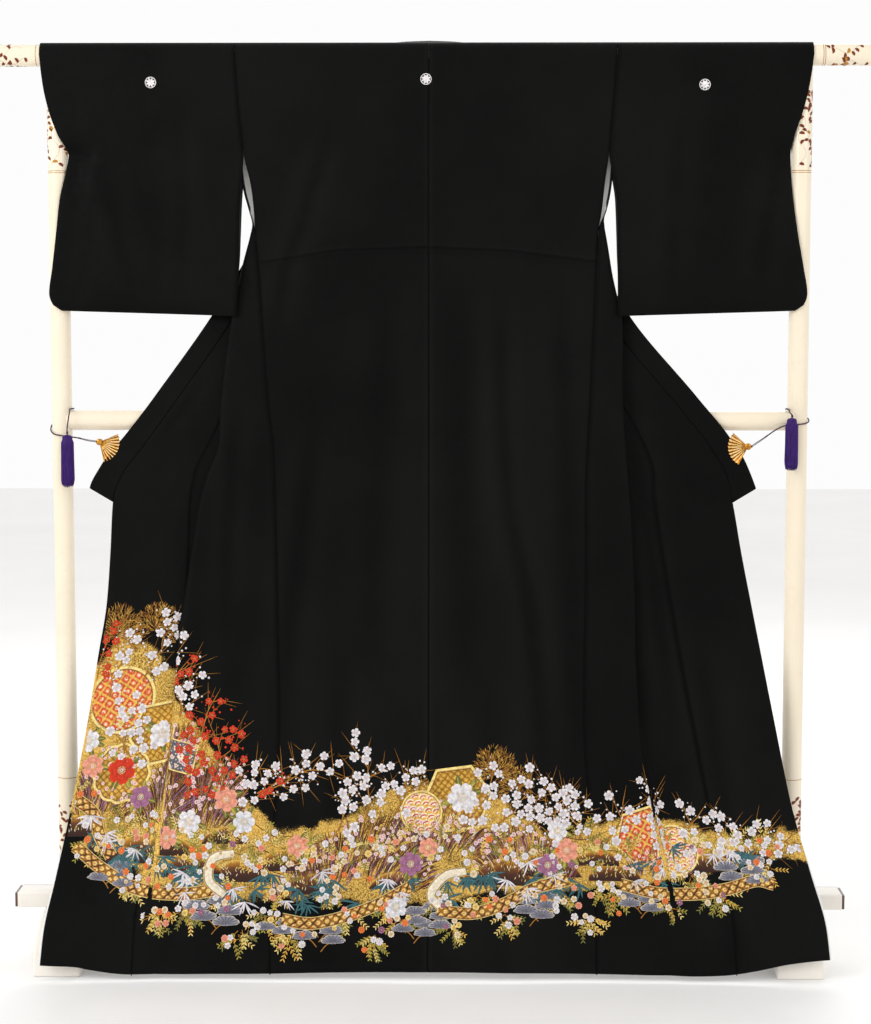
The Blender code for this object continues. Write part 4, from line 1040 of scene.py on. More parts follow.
def sleeve_depths(side, height, outer, share):
    """Depth of a sleeve's near and far layers at a share of its width from the body."""
    closed = height <= ARMHOLE_BOTTOM
    near = SLEEVE_BAG_FRONT_Y + (SLEEVE_FRONT_Y - SLEEVE_BAG_FRONT_Y) * smooth(1.350, 1.445, height)
    far = SLEEVE_INNER_REAR_Y + (WRAP_R - SLEEVE_INNER_REAR_Y) * smooth(1.170, 1.420, height)
    inner = 1.0 - smooth(0.0, 0.25, share)
    beside_body = inner * smooth(1.300, 1.403, height)
    near += (back_side_depth(side, height) - near) * beside_body
    far += (front_section(side, height)[2][0] - far) * beside_body
    over_fold = inner * (1.0 - smooth(1.195, 1.235, height))
    near += (SLEEVE_OVER_FOLD_NEAR_Y - near) * over_fold
    far += (SLEEVE_OVER_FOLD_FAR_Y - far) * over_fold
    if closed:
        across_post = smooth(0.76, 0.90, share) * (1.0 - smooth(1.375, 1.400, height))
        far += (SLEEVE_BAG_REAR_Y - far) * across_post
    reach = min(1.0, max(0.0, (POST_X - outer) / POST_WRAP_R))
    beside_post = math.sqrt(1.0 - reach * reach)
    edge = (SLEEVE_BAG_FRONT_Y + SLEEVE_BAG_REAR_Y) / 2 * beside_post
    at_edge = smooth(0.80, 0.96, share)
    pinched = max(0.0, (share - SLEEVE_PINCH_SHARE) / (1.0 - SLEEVE_PINCH_SHARE))
    apart = SLEEVE_PINCH * math.sqrt(1.0 - pinched * pinched)
    if height < SLEEVE_NEAR_EDGE_TOP:
        near += (edge - apart - near) * at_edge
    if closed:
        far += (edge + apart - far) * at_edge
    elif height < SLEEVE_FAR_EDGE_TOP:
        far += (WRAP_R * beside_post + apart - far) * at_edge
    return near, far


def sleeve_rows(side, height, shares):
    """Points of a sleeve's near and far layers at a height, from the body outward."""
    inner = sleeve(side + "_in", height)
    outer = sleeve(side + "_out", height)
    if height >= ARMHOLE_BOTTOM:
        inner_near = half(side, "back_side", height) + GAP
        inner_far = half(side, "front_side", height) + GAP
    else:
        inner_near = inner
        inner_far = max(inner, half(side, "front_side", height) + 2 * GAP)
    near_row, far_row = [], []
    for share in shares:
        near, far = sleeve_depths(side, height, outer, share)
        near_row.append((sign(side) * (inner_near + (outer - inner_near) * share), near, height))
        far_row.append((sign(side) * (inner_far + (outer - inner_far) * share), far, height))
    return np.array(near_row), np.array(far_row)


def sleeve_cloth(side, materials):
    """A sleeve: a flat bag over the rod, open at the wrist and beside the body."""
    shares = finer(SLEEVE_SHARES, SLEEVE_SHARE_STEP) + list(SLEEVE_EDGE_SHARES)
    heights = finer(SLEEVE_LEVELS, SLEEVE_STEP)
    nears, fars = zip(*[sleeve_rows(side, height, shares) for height in heights])
    inner, outer = sleeve(side + "_in", SLEEVE_BOTTOM_OUT), sleeve(side + "_out", SLEEVE_BOTTOM_OUT)
    bottom = []
    for share in shares:
        height = SLEEVE_BOTTOM_IN + (SLEEVE_BOTTOM_OUT - SLEEVE_BOTTOM_IN) * share
        depth = sum(sleeve_depths(side, SLEEVE_LEVELS[-1], outer, share)) / 2
        bottom.append((sign(side) * (inner + (outer - inner) * share), depth, height))
    bottom = np.array(bottom)
    wrap = wrap_rows(nears[0], fars[0])
    rows = [bottom] + [bottom + (nears[-1] - bottom) * t for t in SLEEVE_BOTTOM_SHARES]
    first_near, first_far = len(rows), len(rows) + len(heights) + len(wrap)
    rows += [*nears[::-1], *wrap, *fars]
    rows += [bottom + (fars[-1] - bottom) * t for t in SLEEVE_BOTTOM_SHARES[::-1]]
    rows = [dressed(row, hem=False) for row in rows]
    numbers = numbered(len(shares), len(rows))
    # The two layers share their outer edge below the armhole
    for k, height in enumerate(heights):
        if height <= ARMHOLE_BOTTOM:
            numbers[first_far + k][-1] = numbers[first_near + len(heights) - 1 - k][-1]
    for k in (0, 1):
        numbers[first_far + len(heights) + k][-1] = numbers[2 - k][-1]
    return cloth_piece("sleeve_" + side, rows, materials, faces=grid_faces(numbers + [numbers[0]]),
                       seams=[row[0] for row in numbers], bound=[n for row in numbers for n in row[:3]])


def underlayer_cloth(side, materials):
    """White underlayer behind the front edge, showing past it near the hem."""
    rows = []
    for height in [level for level in body_levels() if level <= UNDERLAYER_TOP]:
        shown = UNDERLAYER_SHOW * (1.0 - smooth(0.16, UNDERLAYER_TOP, height)) - 0.0008
        length = front_length(height)
        row = front_row(side, height, length - UNDERLAYER_WIDTH, length - 0.004, 3)[0]
        edge = front_row(side, height, 0.0, length, 1)[0][1]
        row = np.concatenate((dressed(row), [edge + (sign(side) * shown, 0.0, 0.0)]))
        row[-1, 1] = row[-2, 1]
        row[:, 1] += CLOTH / 2 + GAP + LINING_WALL / 2
        rows.append(row)
    return cloth_piece("underlayer_" + side, rows, materials, wall=LINING_WALL, soft_edge=LINING_SOFT_EDGE)


def fan_piece(row, materials):
    """A gilt fan clip: pleated leaf on ribs with guard sticks, a domed pin and the jaw behind."""
    side, pivot_x, pivot_z, top, bottom = row[:5]
    first, last = np.radians([top, bottom] if side == "left" else [180.0 - top, 180.0 - bottom])
    centre = np.array((sign(side) * pivot_x, 0.0, pivot_z))

    def on_fan(turn, radius, depth):
        return centre + (math.cos(turn) * radius, depth, math.sin(turn) * radius)

    def sector(first, last, near_r, far_r, front, wall, pleats=0, steps=1):
        count = 2 * pleats if pleats else 10
        verts = []
        for i, turn in enumerate(np.linspace(first, last, count + 1)):
            lift = PLEAT_DEPTH if pleats and i % 2 else 0.0
            for k in range(steps + 1):
                radius = near_r + (far_r - near_r) * k / steps
                if pleats and k == steps:
                    radius += 0.0009 if i % 2 == 0 else -0.0007
                depth = front + lift * k / steps
                verts += [on_fan(turn, radius, depth), on_fan(turn, radius, depth + wall)]
        width = 2 * (steps + 1)
        faces = []
        for a in range(0, count * width, width):
            b = a + width
            for p, q in zip(range(a, b - 2, 2), range(b, b + width - 2, 2)):
                faces += [(p, q, q + 2, p + 2), (p + 1, p + 3, q + 3, q + 1)]
            faces += [(a, a + 1, b + 1, b), (b - 2, b + width - 2, b + width - 1, b - 1)]
        for start in (0, count * width):
            faces += [(p, p + 2, p + 3, p + 1) for p in range(start, start + 2 * steps, 2)]
        return np.array(verts), faces

    front = FAN_FRONT_Y - FAN_WALL
    parts = [sector(first, last, 0.0090, FAN_R, front, FAN_WALL / 2, FAN_PLEATS, FAN_STEPS),
             sector(first, last, 0.0040, JAW_R, JAW_Y, FAN_WALL / 2)]
    for i in range(FAN_PLEATS):
        turn = first + (last - first) * (i + 0.5) / FAN_PLEATS
        thin = 0.34 * abs(last - first) / FAN_PLEATS
        parts.append(sector(turn - thin, turn + thin, RIB_START, 0.0110, front - 0.0001, FAN_WALL - 0.0005))
    for edge, inward in ((first, 1.0), (last, -1.0)):
        broad = inward * 0.060 * np.sign(last - first)
        parts.append(sector(edge, edge + broad, RIB_START, FAN_R + 0.0006, front - 0.0003, FAN_WALL))
    for radius in (0.0102, 0.0112):
        band = [on_fan(turn, radius, front - 0.0002) for turn in np.linspace(first, last, 24)]
        parts.append(tube_mesh(band, 0.0004, 6))
    rear = JAW_Y + FAN_WALL / 2
    profile = [(PIN_R * 0.92 * math.cos(a), PIN_FRONT_Y + 0.0026 * (1 - math.sin(a)))
               for a in np.radians((80, 60, 40, 20, 0))]
    profile += [(0.0040, PIN_FRONT_Y + 0.0032), (0.0038, rear), (0.0048, rear + 0.0004)]
    parts.append(lathe_mesh(profile, 32, centre, "Y"))
    piece = add_piece("fan_clip_" + side, *joined(parts), materials)
    # Alternate slopes of the pleats take painted highlight and painted shade copies of the gilt
    across = 2 * FAN_STEPS + 2
    for k in range(2 * FAN_PLEATS * across):
        piece.data.polygons[k].material_index = 1 + k // across % 2
    even_normals(piece)
    piece.data.set_sharp_from_angle(angle=math.radians(12.0))
    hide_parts("clip_" + side)
    return piece


def clip_cord_route(row):
    """From the clip's pin round the upright, over the middle bar and down to the tassel."""
    side, pivot_x, pivot_z = row[:3]
    wrap_z, tassel_z = row[-2:]
    points = [(pivot_x + PIN_R + GAP, -0.0265, pivot_z + 0.001),
              (pivot_x + 0.022, -0.0262, pivot_z + 0.30 * (wrap_z - pivot_z)),
              (POST_X - 0.030, -0.0240, wrap_z - 0.004)]
    for share in np.arange(10) / 9:
        x, y = CORD_WRAP_R * aim(math.radians(-85.0 + 300.0 * share))
        points.append((POST_X + x, y, wrap_z + (CORD_OVER_BAR_Z - wrap_z) * smooth(0.0, 0.84, share)))
    points += [(TASSEL_X - 0.0035, TASSEL_Y + 0.0075, CORD_OVER_BAR_Z - 0.003),
               (TASSEL_X, TASSEL_Y, min(CORD_OVER_BAR_Z - 0.008, tassel_z + 0.012)),
               (TASSEL_X, TASSEL_Y, tassel_z + GAP)]
    return [(sign(side) * x, y, z) for x, y, z in points]


def cord_piece(row, material):
    """The clip's cord: two plies, side by side at the clip, then twisted, knotted at both ends."""
    side = row[0]
    path = smooth_path(clip_cord_route(row), CORD_STEP)
    path = np.concatenate((path[0] + np.outer((1.2, 0.9, 0.6, 0.3), path[0] - path[4]), path))
    frames = frames_along(path, (0.0, 1.0, 0.0))
    parts = []
    for ply in range(2):
        strand = []
        for i, (point, (across, over)) in enumerate(zip(path, frames)):
            apart = max(0.0, 1.0 - i / CORD_UNTWISTED)
            turn = 2 * math.pi * max(0, i - CORD_UNTWISTED) * CORD_STEP / CORD_LAY + math.pi * ply
            spread_out = 0.00066 + 0.0003 * apart
            strand.append(point + spread_out * (across * math.cos(turn) + over * math.sin(turn)))
        thin = np.clip(np.arange(len(strand)) / CORD_UNTWISTED, 0.85, 1.0)
        parts.append(tube_mesh(strand[::2], 0.00074 * thin[::2], 7))
    for spot, size in ((path[2], 0.0018), (path[-6], 0.0023)):
        knot = [spot + (size * 0.62 * math.cos(t), size * 0.62 * math.sin(t),
                        (t / (4 * math.pi) - 0.5) * size * 1.6) for t in np.linspace(0.0, 4.0 * math.pi, 40)]
        parts.append(tube_mesh(knot, 0.0007, 7))
    piece = add_piece("clip_cord_twisted_" + side, *joined(parts), [material])
    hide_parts("clip_cord_" + side)
    return piece


def tassel_piece(row, material):
    """A tassel: a hank of fine strands with a narrow tied head, its ends a little uneven."""
    side, tassel_z = row[0], row[-1]
    centre = np.array((sign(side) * TASSEL_X, TASSEL_Y, tassel_z))
    shares = np.concatenate((np.linspace(0.0, 0.12, 6), np.linspace(0.16, 1.0, 10)))

    def envelope(share):
        head = math.sqrt(max(0.0, 1.0 - (1.0 - min(1.0, share / 0.06)) ** 2))
        neck = 0.70 + 0.22 * float(smooth(0.096, 0.150, share))
        foot = 1.0 + 0.09 * share - 0.16 * max(0.0, (share - 0.93) / 0.07) ** 2
        return 0.0008 + 0.0105 * head * neck * foot

    core = [(0.90 * envelope(share), -(TASSEL_LENGTH - 0.004) * share - 0.0004) for share in shares[:-1]]
    parts = [lathe_mesh(core + [(0.0010, core[-1][1] - 0.0004)], 28, centre)]
    dice = np.random.default_rng(7 if side == "left" else 8)
    for k in range(TASSEL_STRANDS):
        outer = k < TASSEL_OUTER
        share = (1.0, 0.94, 0.98)[k % 3] if outer else 0.93 * math.sqrt(
            (k - TASSEL_OUTER + 0.5) / (TASSEL_STRANDS - TASSEL_OUTER))
        turn = 2 * math.pi * k / TASSEL_OUTER if outer else k * GOLDEN_TURN
        way = np.append(aim(turn), 0.0)
        length = TASSEL_LENGTH - 0.0030 * share ** 3 + dice.uniform(-0.0060, 0.0004)
        sway = dice.uniform(-0.0004, 0.0004, 2)
        strand = []
        for t in (shares if outer else shares[8:]):
            bend = np.array((sway[0] * math.sin(5.0 * t + turn), sway[1] * math.sin(4.0 * t + 2 * turn), 0.0))
            strand.append(centre + way * envelope(t) * share + bend * t + (0.0, 0.0, -length * t))
        parts.append(tube_mesh(strand, 0.00044, 4))
    for drop, tilt in ((-0.0040, 0.0), (-0.0048, 0.0002)):
        loop = ring(centre + (0.0, -0.0086, drop), (1.0, 0.0, 0.0), (0.0, 0.0, 1.0), (0.0016, 0.0011), 17)
        parts.append(tube_mesh(np.concatenate((loop, loop[:1])) + (0.0, tilt, 0.0), 0.00042, 6))
    piece = add_piece("tassel_fringe_" + side, *joined(parts), [material])
    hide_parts("tassel_" + side)
    return piece


def linear(red, green, blue):
    """A colour in display values, as the shaders take it."""
    return np.array([(part / 255.0) ** 2.2 for part in (red, green, blue)])


# Inks, given in display values
INK = {
    "white": linear(238, 233, 233), "lilac": linear(196, 187, 198), "red": linear(222, 58, 26),
    "deep_red": linear(140, 26, 18), "salmon": linear(240, 166, 138), "rose": linear(206, 70, 58),
    "mauve": linear(168, 112, 146), "plum": linear(104, 46, 78), "teal": linear(62, 112, 118),
    "grey": linear(148, 146, 158), "slate": linear(92, 90, 102),
    "orange": linear(240, 136, 66), "cream": linear(248, 234, 206), "green": linear(118, 124, 62),
    "olive": linear(168, 162, 70), "brown": linear(112, 66, 28), "ochre": linear(188, 130, 46),
    "gold": linear(236, 188, 84), "pale_gold": linear(252, 224, 138), "deep_gold": linear(170, 112, 34),
    "blue": linear(124, 146, 180), "umber": linear(74, 40, 26),
    "bark": linear(122, 54, 26), "scroll": linear(206, 190, 164),
}


class Design:
    """Shapes of the hem design in flat coordinates: signed distance along the cloth, and height."""

    def __init__(self, seed):
        self.dice = np.random.default_rng(seed)
        self.spots, self.faces, self.colours, self.metals, self.lifts = [], [], [], [], []
        self.blossoms, self.florets = [], []
        self.count = 0

    def add(self, spots, faces, colours, level, metal=0.0, dome=0.0):
        spots = np.asarray(spots, float)
        count = len(spots)
        self.spots.append(spots)
        self.faces += [tuple(self.count + n for n in face) for face in faces]
        self.colours.append(np.broadcast_to(colours, (count, 3)))
        self.metals.append(np.broadcast_to(metal, (count,)))
        self.lifts.append(LIFT_BASE + LIFT_STEP * level + np.broadcast_to(dome, (count,)))
        self.count += count

    @staticmethod
    def claim(spot, taken, room):
        """Takes a place if there is room for it."""
        if any(np.hypot(*(spot - other)) < room for other in taken):
            return False
        taken.append(spot)
        return True

    def disc(self, centre, size, inner, outer, level, sides, metal=0.0):
        """A small round dot, domed like a knot of thread."""
        rim = centre + size * round_turn(sides)[1]
        self.add(np.concatenate(([centre], rim)), hub_faces(sides),
                 np.concatenate(([inner], np.tile(outer, (sides, 1)))), level, metal,
                 np.concatenate(([min(0.0005, 0.3 * size)], np.zeros(sides))))

    def flower(self, centre, size, petals, inner, outer, level, turn, notch, fine, rings=(0.3, 0.7, 1.0)):
        """A flower seen from above, shaded from heart to rim and domed like padded stitches."""
        spokes = petals * fine
        turns, way = round_turn(spokes, turn)
        wave = np.abs(np.cos(petals * turns / 2))
        rim = size * (1.0 - notch * (1.0 - wave ** 0.7)) * (1.0 - 0.07 * (wave > 0.97))
        spots, colours, domes = [np.array([centre])], [np.array([inner])], [np.array([0.00035])]
        for share in rings:
            spots.append(centre + way * (rim * share)[:, None])
            tone = inner + (outer - inner) * share ** 0.8
            between = 1.0 - 0.34 * (1.0 - wave) ** 2 * min(1.0, 1.6 * share)
            colours.append(tone * between[:, None])
            domes.append(np.full(spokes, 0.00040 * (1.0 - share ** 3)))
        self.add(np.concatenate(spots), hub_faces(spokes) + ring_faces(spokes, len(rings), 1),
                 np.concatenate(colours), level, 0.0, np.concatenate(domes))

    def stroke(self, points, widths, colour, level, metal=0.0, edge=None):
        """A line of varying width, raised along its middle."""
        points = np.asarray(points, float)
        count = len(points)
        ways = directions(points, 1e-9)
        across = np.stack((-ways[:, 1], ways[:, 0]), axis=1) * np.broadcast_to(widths, (count,))[:, None] / 2
        edge = colour if edge is None else edge
        self.add(np.concatenate((points - across, points, points + across)), grid_faces(numbered(count, 3)),
                 np.concatenate([np.broadcast_to(c, (count, 3)) for c in (edge, colour, edge)]), level, metal,
                 np.concatenate((np.zeros(count), np.full(count, 0.00016), np.zeros(count))))

    def leaf(self, start, heading, length, width, colour, level, bend=0.0, edge=None, steps=7):
        """A blade or leaf that leaves its start in a heading and bends on its way."""
        shares = np.linspace(0.0, 1.0, steps)
        headings = heading + bend * shares
        way = np.stack((np.cos(headings), np.sin(headings)), axis=1) * (length / (steps - 1))
        points = np.asarray(start) + np.concatenate(([[0.0, 0.0]], np.cumsum(way[:-1], axis=0)))
        widths = width * np.sin(math.pi * np.clip(shares * 0.94 + 0.04, 0, 1)) ** 0.8
        self.stroke(points, widths, colour, level, edge=edge)

    @staticmethod
    def bordered(colours, metals, share, inner, outer):
        """Gilds a pattern's outermost part and darkens the line inside it."""
        colours[share > outer], metals[share > outer] = INK["pale_gold"], 0.8
        line = (share > inner) & (share <= outer)
        colours[line], metals[line] = INK["brown"], 0.0

    def panel(self, centre, size, outline, pattern, turn, level):
        """A patterned panel with a gilt rim; outline gives its radius at each turn."""
        turns, way = round_turn(PANEL_SPOKES)
        shares = np.linspace(0.0, 1.0, PANEL_RINGS + 1)[1:]
        flat = (way[None] * ((size * outline(turns))[None, :] * shares[:, None])[..., None]).reshape(-1, 2)
        colours, metals = pattern(flat)
        self.bordered(colours, metals, np.repeat(shares, PANEL_SPOKES), 0.885, 0.925)
        centre_colour, centre_metal = pattern(np.zeros((1, 2)))
        spots = np.asarray(centre) + turned(np.concatenate(([[0.0, 0.0]], flat)), turn)
        self.add(spots, hub_faces(PANEL_SPOKES) + ring_faces(PANEL_SPOKES, PANEL_RINGS, 1),
                 np.concatenate((centre_colour, colours)), level, np.concatenate((centre_metal, metals)))

    def band(self, knots, width, pattern, level, ends=0.0):
        """A patterned ribbon along a smooth path, with gilt borders, narrowed towards its ends."""
        path = smooth_path(knots, BAND_STEP)
        count = len(path)
        ways = directions(path)
        across = np.stack((-ways[:, 1], ways[:, 0]), axis=1)
        widths = width * (1.0 - ends * (1.0 - np.sin(math.pi * np.linspace(0, 1, count)) ** 0.5))
        columns = np.linspace(-0.5, 0.5, BAND_COLUMNS + 1)
        spots = [path + across * (t * widths)[:, None] for t in columns]
        flats = [np.stack((np.arange(count) * BAND_STEP, np.full(count, t * width)), axis=1) for t in columns]
        colours, metals = pattern(np.concatenate(flats))
        self.bordered(colours, metals, np.abs(np.concatenate(flats)[:, 1]) / width, 0.36, 0.45)
        self.add(np.concatenate(spots), grid_faces(numbered(count, BAND_COLUMNS + 1)), colours, level, metals)

    def blossom(self, centre, size, kind, level):
        """A five-petalled blossom with stamens, where there is room for it."""
        centre = np.asarray(centre, float)
        if not self.claim(centre, self.blossoms, BLOSSOM_ROOM):
            return
        inner, outer, tip = BLOSSOM_INKS[kind]
        turn = self.dice.uniform(0, 2 * math.pi)
        self.flower(centre, size, 5, INK[inner], INK[outer], level, turn, 0.36, 6)
        for k in range(5):
            spot = centre + 0.36 * size * aim(turn + 2 * math.pi * k / 5)
            self.disc(spot, 0.075 * size, INK[tip], INK[tip], level + 3.4, 5)
        self.disc(centre, 0.13 * size, INK["pale_gold"], INK["ochre"], level + 3.4, 6, 0.4)

    def twig(self, start, heading, length, width, kind, depth=0):
        """A branch with side twigs, buds and blossoms."""
        dice = self.dice
        steps = max(3, int(length / 0.008))
        points, angle = [np.asarray(start, float)], heading
        for k in range(steps):
            angle += dice.normal(0.0, 0.15) + 0.05 * (heading - angle)
            points.append(points[-1] + length / steps * aim(angle))
        self.stroke(points, np.linspace(width, width * 0.42, steps + 1), INK["ochre"], 3, 0.2, INK["brown"])
        spike = points[-1] + np.outer((0.0, 0.5, 1.0), dice.uniform(0.016, 0.034) * aim(angle))
        self.stroke(spike, (width * 0.42, 0.0006, 0.0002), INK["deep_gold"], 3)
        if depth < 2:
            for k in range(1, steps, 2):
                side = 1 if (k // 2) % 2 else -1
                self.twig(points[k], heading + side * dice.uniform(0.45, 1.0),
                          length * dice.uniform(0.30, 0.46), width * 0.62, kind, depth + 1)
        blossoms, buds = TWIG_SHARES[depth]
        for point in points[1:]:
            if dice.random() < blossoms:
                size = dice.uniform(0.0070, 0.0092) * (1.0 if kind == "white" else 0.86)
                self.blossom(point + dice.normal(0.0, 0.003, 2), size, kind, 4 + dice.integers(0, 3) * 0.5)
            if dice.random() < buds:
                spot = point + dice.normal(0.0, 0.0065, 2)
                self.disc(spot, dice.uniform(0.0010, 0.0022), INK[kind], INK[kind] * 0.75, 4, 7)

    def blades(self, centre, size, colour, edge, level, heading):
        """A cluster of narrow pointed leaves."""
        for k in range(BLADES):
            angle = heading + BLADE_FAN * (2 * k / (BLADES - 1) - 1.0) + self.dice.normal(0, 0.12)
            length = size * self.dice.uniform(0.65, 1.1)
            tone = colour * self.dice.uniform(0.7, 1.1)
            bend = self.dice.normal(0.0, 0.30)
            self.leaf(centre, angle, length, 0.115 * size, tone, level + 0.2 * k, bend, edge)

    def tuft(self, centre, size, count):
        """A rounded bough of fine needles fanning out from a hidden stem."""
        dice = self.dice
        for k in range(count * 2):
            angle = dice.uniform(-0.5, math.pi + 0.5)
            reach = size * dice.uniform(0.0, 0.85) ** 0.7
            start = centre + reach * (aim(angle) * (0.8, 1.0))
            colour = INK[TUFT_INKS[dice.integers(0, len(TUFT_INKS))]] * dice.uniform(0.6, 1.0)
            self.leaf(start, angle + dice.normal(0, 0.45), size * dice.uniform(0.10, 0.22),
                      0.0009, colour, 0.4 * (k % 4), dice.normal(0, 0.2), steps=4)

    def cloud_pine(self, centre, size, layers=5):
        """Flat-topped grey boughs in tiers on thin gilt stems."""
        dice = self.dice
        turns, way = round_turn(PINE_SPOKES)
        for k in range(layers):
            side = -1.0 if k % 2 else 1.0
            spot = np.asarray(centre) + (side * size * dice.uniform(0.35, 1.05), -size * 0.30 * k)
            steps = ((0.0, 0.0), (-side * 0.45, -0.22), (-side * 0.8, -0.62))
            stem = [spot + size * np.array(step) for step in steps]
            self.stroke(smooth_path(stem, 0.004), 0.0020, INK["ochre"], 2, 0.4, INK["umber"])
            bumps = 1.0 + 0.15 * np.abs(np.sin(3.5 * turns + k))
            high = np.where(np.sin(turns) > 0, 0.40, 0.13)
            rim = way * size * np.stack((np.full(PINE_SPOKES, 0.72), high), axis=1) * bumps[:, None]
            stripes = np.where((np.arange(PINE_SPOKES) % 3 == 0)[:, None], INK["slate"] * 0.9, INK["grey"])
            colours = ([INK["slate"]], stripes * 0.8, stripes, np.tile(INK["cream"] * 0.75, (PINE_SPOKES, 1)))
            self.add(np.concatenate([[spot]] + [spot + rim * share for share in (0.60, 0.88, 1.0)]),
                     hub_faces(PINE_SPOKES) + ring_faces(PINE_SPOKES, 3, 1), np.concatenate(colours),
                     3 + 0.5 * k, 0.0, np.repeat((0.0003, 0.0002, 0.0), (1, 2 * PINE_SPOKES, PINE_SPOKES)))

    def posy(self, centre, size, count, hang=True):
        """A handful of small flowers over gilt and olive leaves."""
        dice = self.dice
        centre = np.asarray(centre, float)
        for k in range(count + 3):
            angle = (-math.pi / 2 if hang else math.pi / 2) + dice.uniform(-1.5, 1.5)
            start = centre + dice.normal(0.0, 0.22 * size, 2)
            tone = INK[("olive", "gold", "green", "pale_gold")[dice.integers(0, 4)]]
            way = aim(angle)
            self.stroke([start, start + 0.6 * size * way, start + 1.1 * size * way], 0.0009, INK["ochre"], 3)
            for t in (0.30, 0.55, 0.80, 1.05):
                for turn in (-0.7, 0.7):
                    self.leaf(start + t * size * way, angle + turn, 0.26 * size, 0.0022, tone, 3.4, steps=4,
                              edge=tone * 0.6)
        for k in range(count):
            spot = centre + np.array((dice.normal(0, 0.55), dice.normal(0.05, 0.42))) * size
            inner, outer = POSY_INKS[min(5, int(dice.exponential(1.9)))]
            if self.claim(spot, self.florets, FLORET_ROOM):
                petals, notch = ((5, 0.27), (9, 0.20))[int(dice.random() < 0.4)]
                self.flower(spot, dice.uniform(0.0050, 0.0068), petals, INK[inner], INK[outer],
                            5 + 0.3 * (k % 4), dice.uniform(0, 6), notch, 4)
                self.disc(spot, 0.0011, INK["pale_gold"], INK["ochre"], 8.8, 6, 0.4)

    def bloom(self, centre, size, kind):
        """A large open flower with leaves behind it."""
        dice, level = self.dice, BLOOM_LEVEL
        centre = np.asarray(centre, float)
        inner, outer = (INK[ink] for ink in BLOOM_INKS[kind])
        for k in range(5):
            angle = dice.uniform(0, 2 * math.pi)
            root = centre + 0.55 * size * aim(angle)
            tone = INK[("green", "olive")[k % 2]]
            bend = dice.normal(0, 0.3)
            self.leaf(root, angle, 0.95 * size, 0.42 * size, tone, level - 1.6, bend, tone * 0.55, 9)
            vein = root + np.outer(np.linspace(0.0, 0.8, 5), 0.95 * size * aim(angle))
            self.stroke(vein, 0.0007, INK["gold"], level - 0.2, 0.5)
        turn = dice.uniform(0, 2 * math.pi)
        self.flower(centre, size, 6, inner, outer, level, turn, 0.26, 8, (0.2, 0.45, 0.7, 0.9, 1.0))
        self.flower(centre, 0.62 * size, 5, inner * 0.8, outer, level + 3.2, turn + 0.5, 0.34, 8)
        for k in range(STAMENS):
            way = aim(turn + 2 * math.pi * k / STAMENS)
            stamen = [centre + 0.05 * size * way, centre + 0.24 * size * way]
            self.stroke(stamen, 0.0006, INK["cream"], level + 6.8)
            self.disc(centre + 0.26 * size * way, 0.0009, INK["pale_gold"], INK["gold"], level + 7.0, 5, 0.4)

    def mound(self, centre, width, height, lean, count):
        """A streaked hill of fine curved strokes with small florets on it."""
        dice = self.dice
        centre = np.asarray(centre, float)
        for k in range(count):
            share = dice.uniform(-1.0, 1.0)
            reach = math.sqrt(max(0.0, 1.0 - share * share)) * dice.uniform(0.25, 1.0)
            spot = centre + (share * width * 0.5 + lean * reach * height, reach * height)
            tone = INK[MOUND_INKS[min(6, int(dice.exponential(2.2)))]]
            heading = math.pi / 2 - 0.9 * share - 0.8 * lean
            length, broad = height * dice.uniform(0.16, 0.34), dice.uniform(0.0010, 0.0021)
            tone = tone * dice.uniform(0.6, 1.0)
            bend = dice.normal(0.35, 0.2) * np.sign(share)
            self.leaf(spot, heading + math.pi, length, broad, tone, 0.5 + 0.35 * (k % 3), bend, steps=5)
            if k % 9 == 0:
                self.flower(spot, dice.uniform(0.0026, 0.0040), 5, INK["red"], INK["white"], 2.4,
                            dice.uniform(0, 6), 0.25, 3, (0.45, 1.0))

    def hill(self, centre, width, height):
        """A low rounded hill, gilt above and brown below, dotted with small grasses."""
        dice, level = self.dice, HILL_LEVEL
        centre = np.asarray(centre, float)
        turns = np.linspace(0.0, math.pi, HILL_SPOKES)
        bumps = 1.0 + 0.05 * np.sin(3.0 * turns + 40.0 * centre[0])
        rim = np.stack((np.cos(turns) * width / 2, np.sin(turns) * height), axis=1) * bumps[:, None]
        shares, inks, dims, metals = zip(*HILL_RINGS)
        colours = np.repeat([INK[ink] * dim for ink, dim in zip(inks, dims)], len(turns), axis=0)
        self.add(np.concatenate([centre + rim * (1.0, share) for share in shares]),
                 grid_faces(numbered(len(turns), len(shares))), colours, level, np.repeat(metals, len(turns)))
        for _ in range(int(width * HILL_GRASSES)):
            share = dice.uniform(-0.8, 0.8)
            rise = height * math.sqrt(1 - share * share) * dice.uniform(0.2, 0.85)
            self.leaf(centre + (share * width / 2, rise), math.pi / 2 + dice.normal(0, 0.4), 0.0055, 0.0012,
                      INK[("pale_gold", "cream", "olive")[dice.integers(0, 3)]], level + 0.8, steps=4)


def polygon(sides):
    """Outline of a regular polygon: its radius at each turn."""
    return lambda turns: math.cos(math.pi / sides) / np.cos(turns % (2 * math.pi / sides) - math.pi / sides)


def circle(turns):
    return np.ones(len(turns))


def scallop(turns):
    return 0.94 + 0.06 * np.abs(np.cos(6 * turns))


def near_line(flat, pitch, angle):
    """Distance of points from the nearest of a set of parallel lines, as a share of their pitch."""
    across = flat[:, 0] * math.cos(angle) + flat[:, 1] * math.sin(angle)
    return np.abs((across / pitch) % 1.0 - 0.5) * 2.0


def lattice(flat, pitch):
    """Closeness of points to the lines and to the cells' middles of a diamond lattice."""
    first, second = near_line(flat, pitch, math.pi / 4), near_line(flat, pitch, -math.pi / 4)
    return np.minimum(first, second), first * second


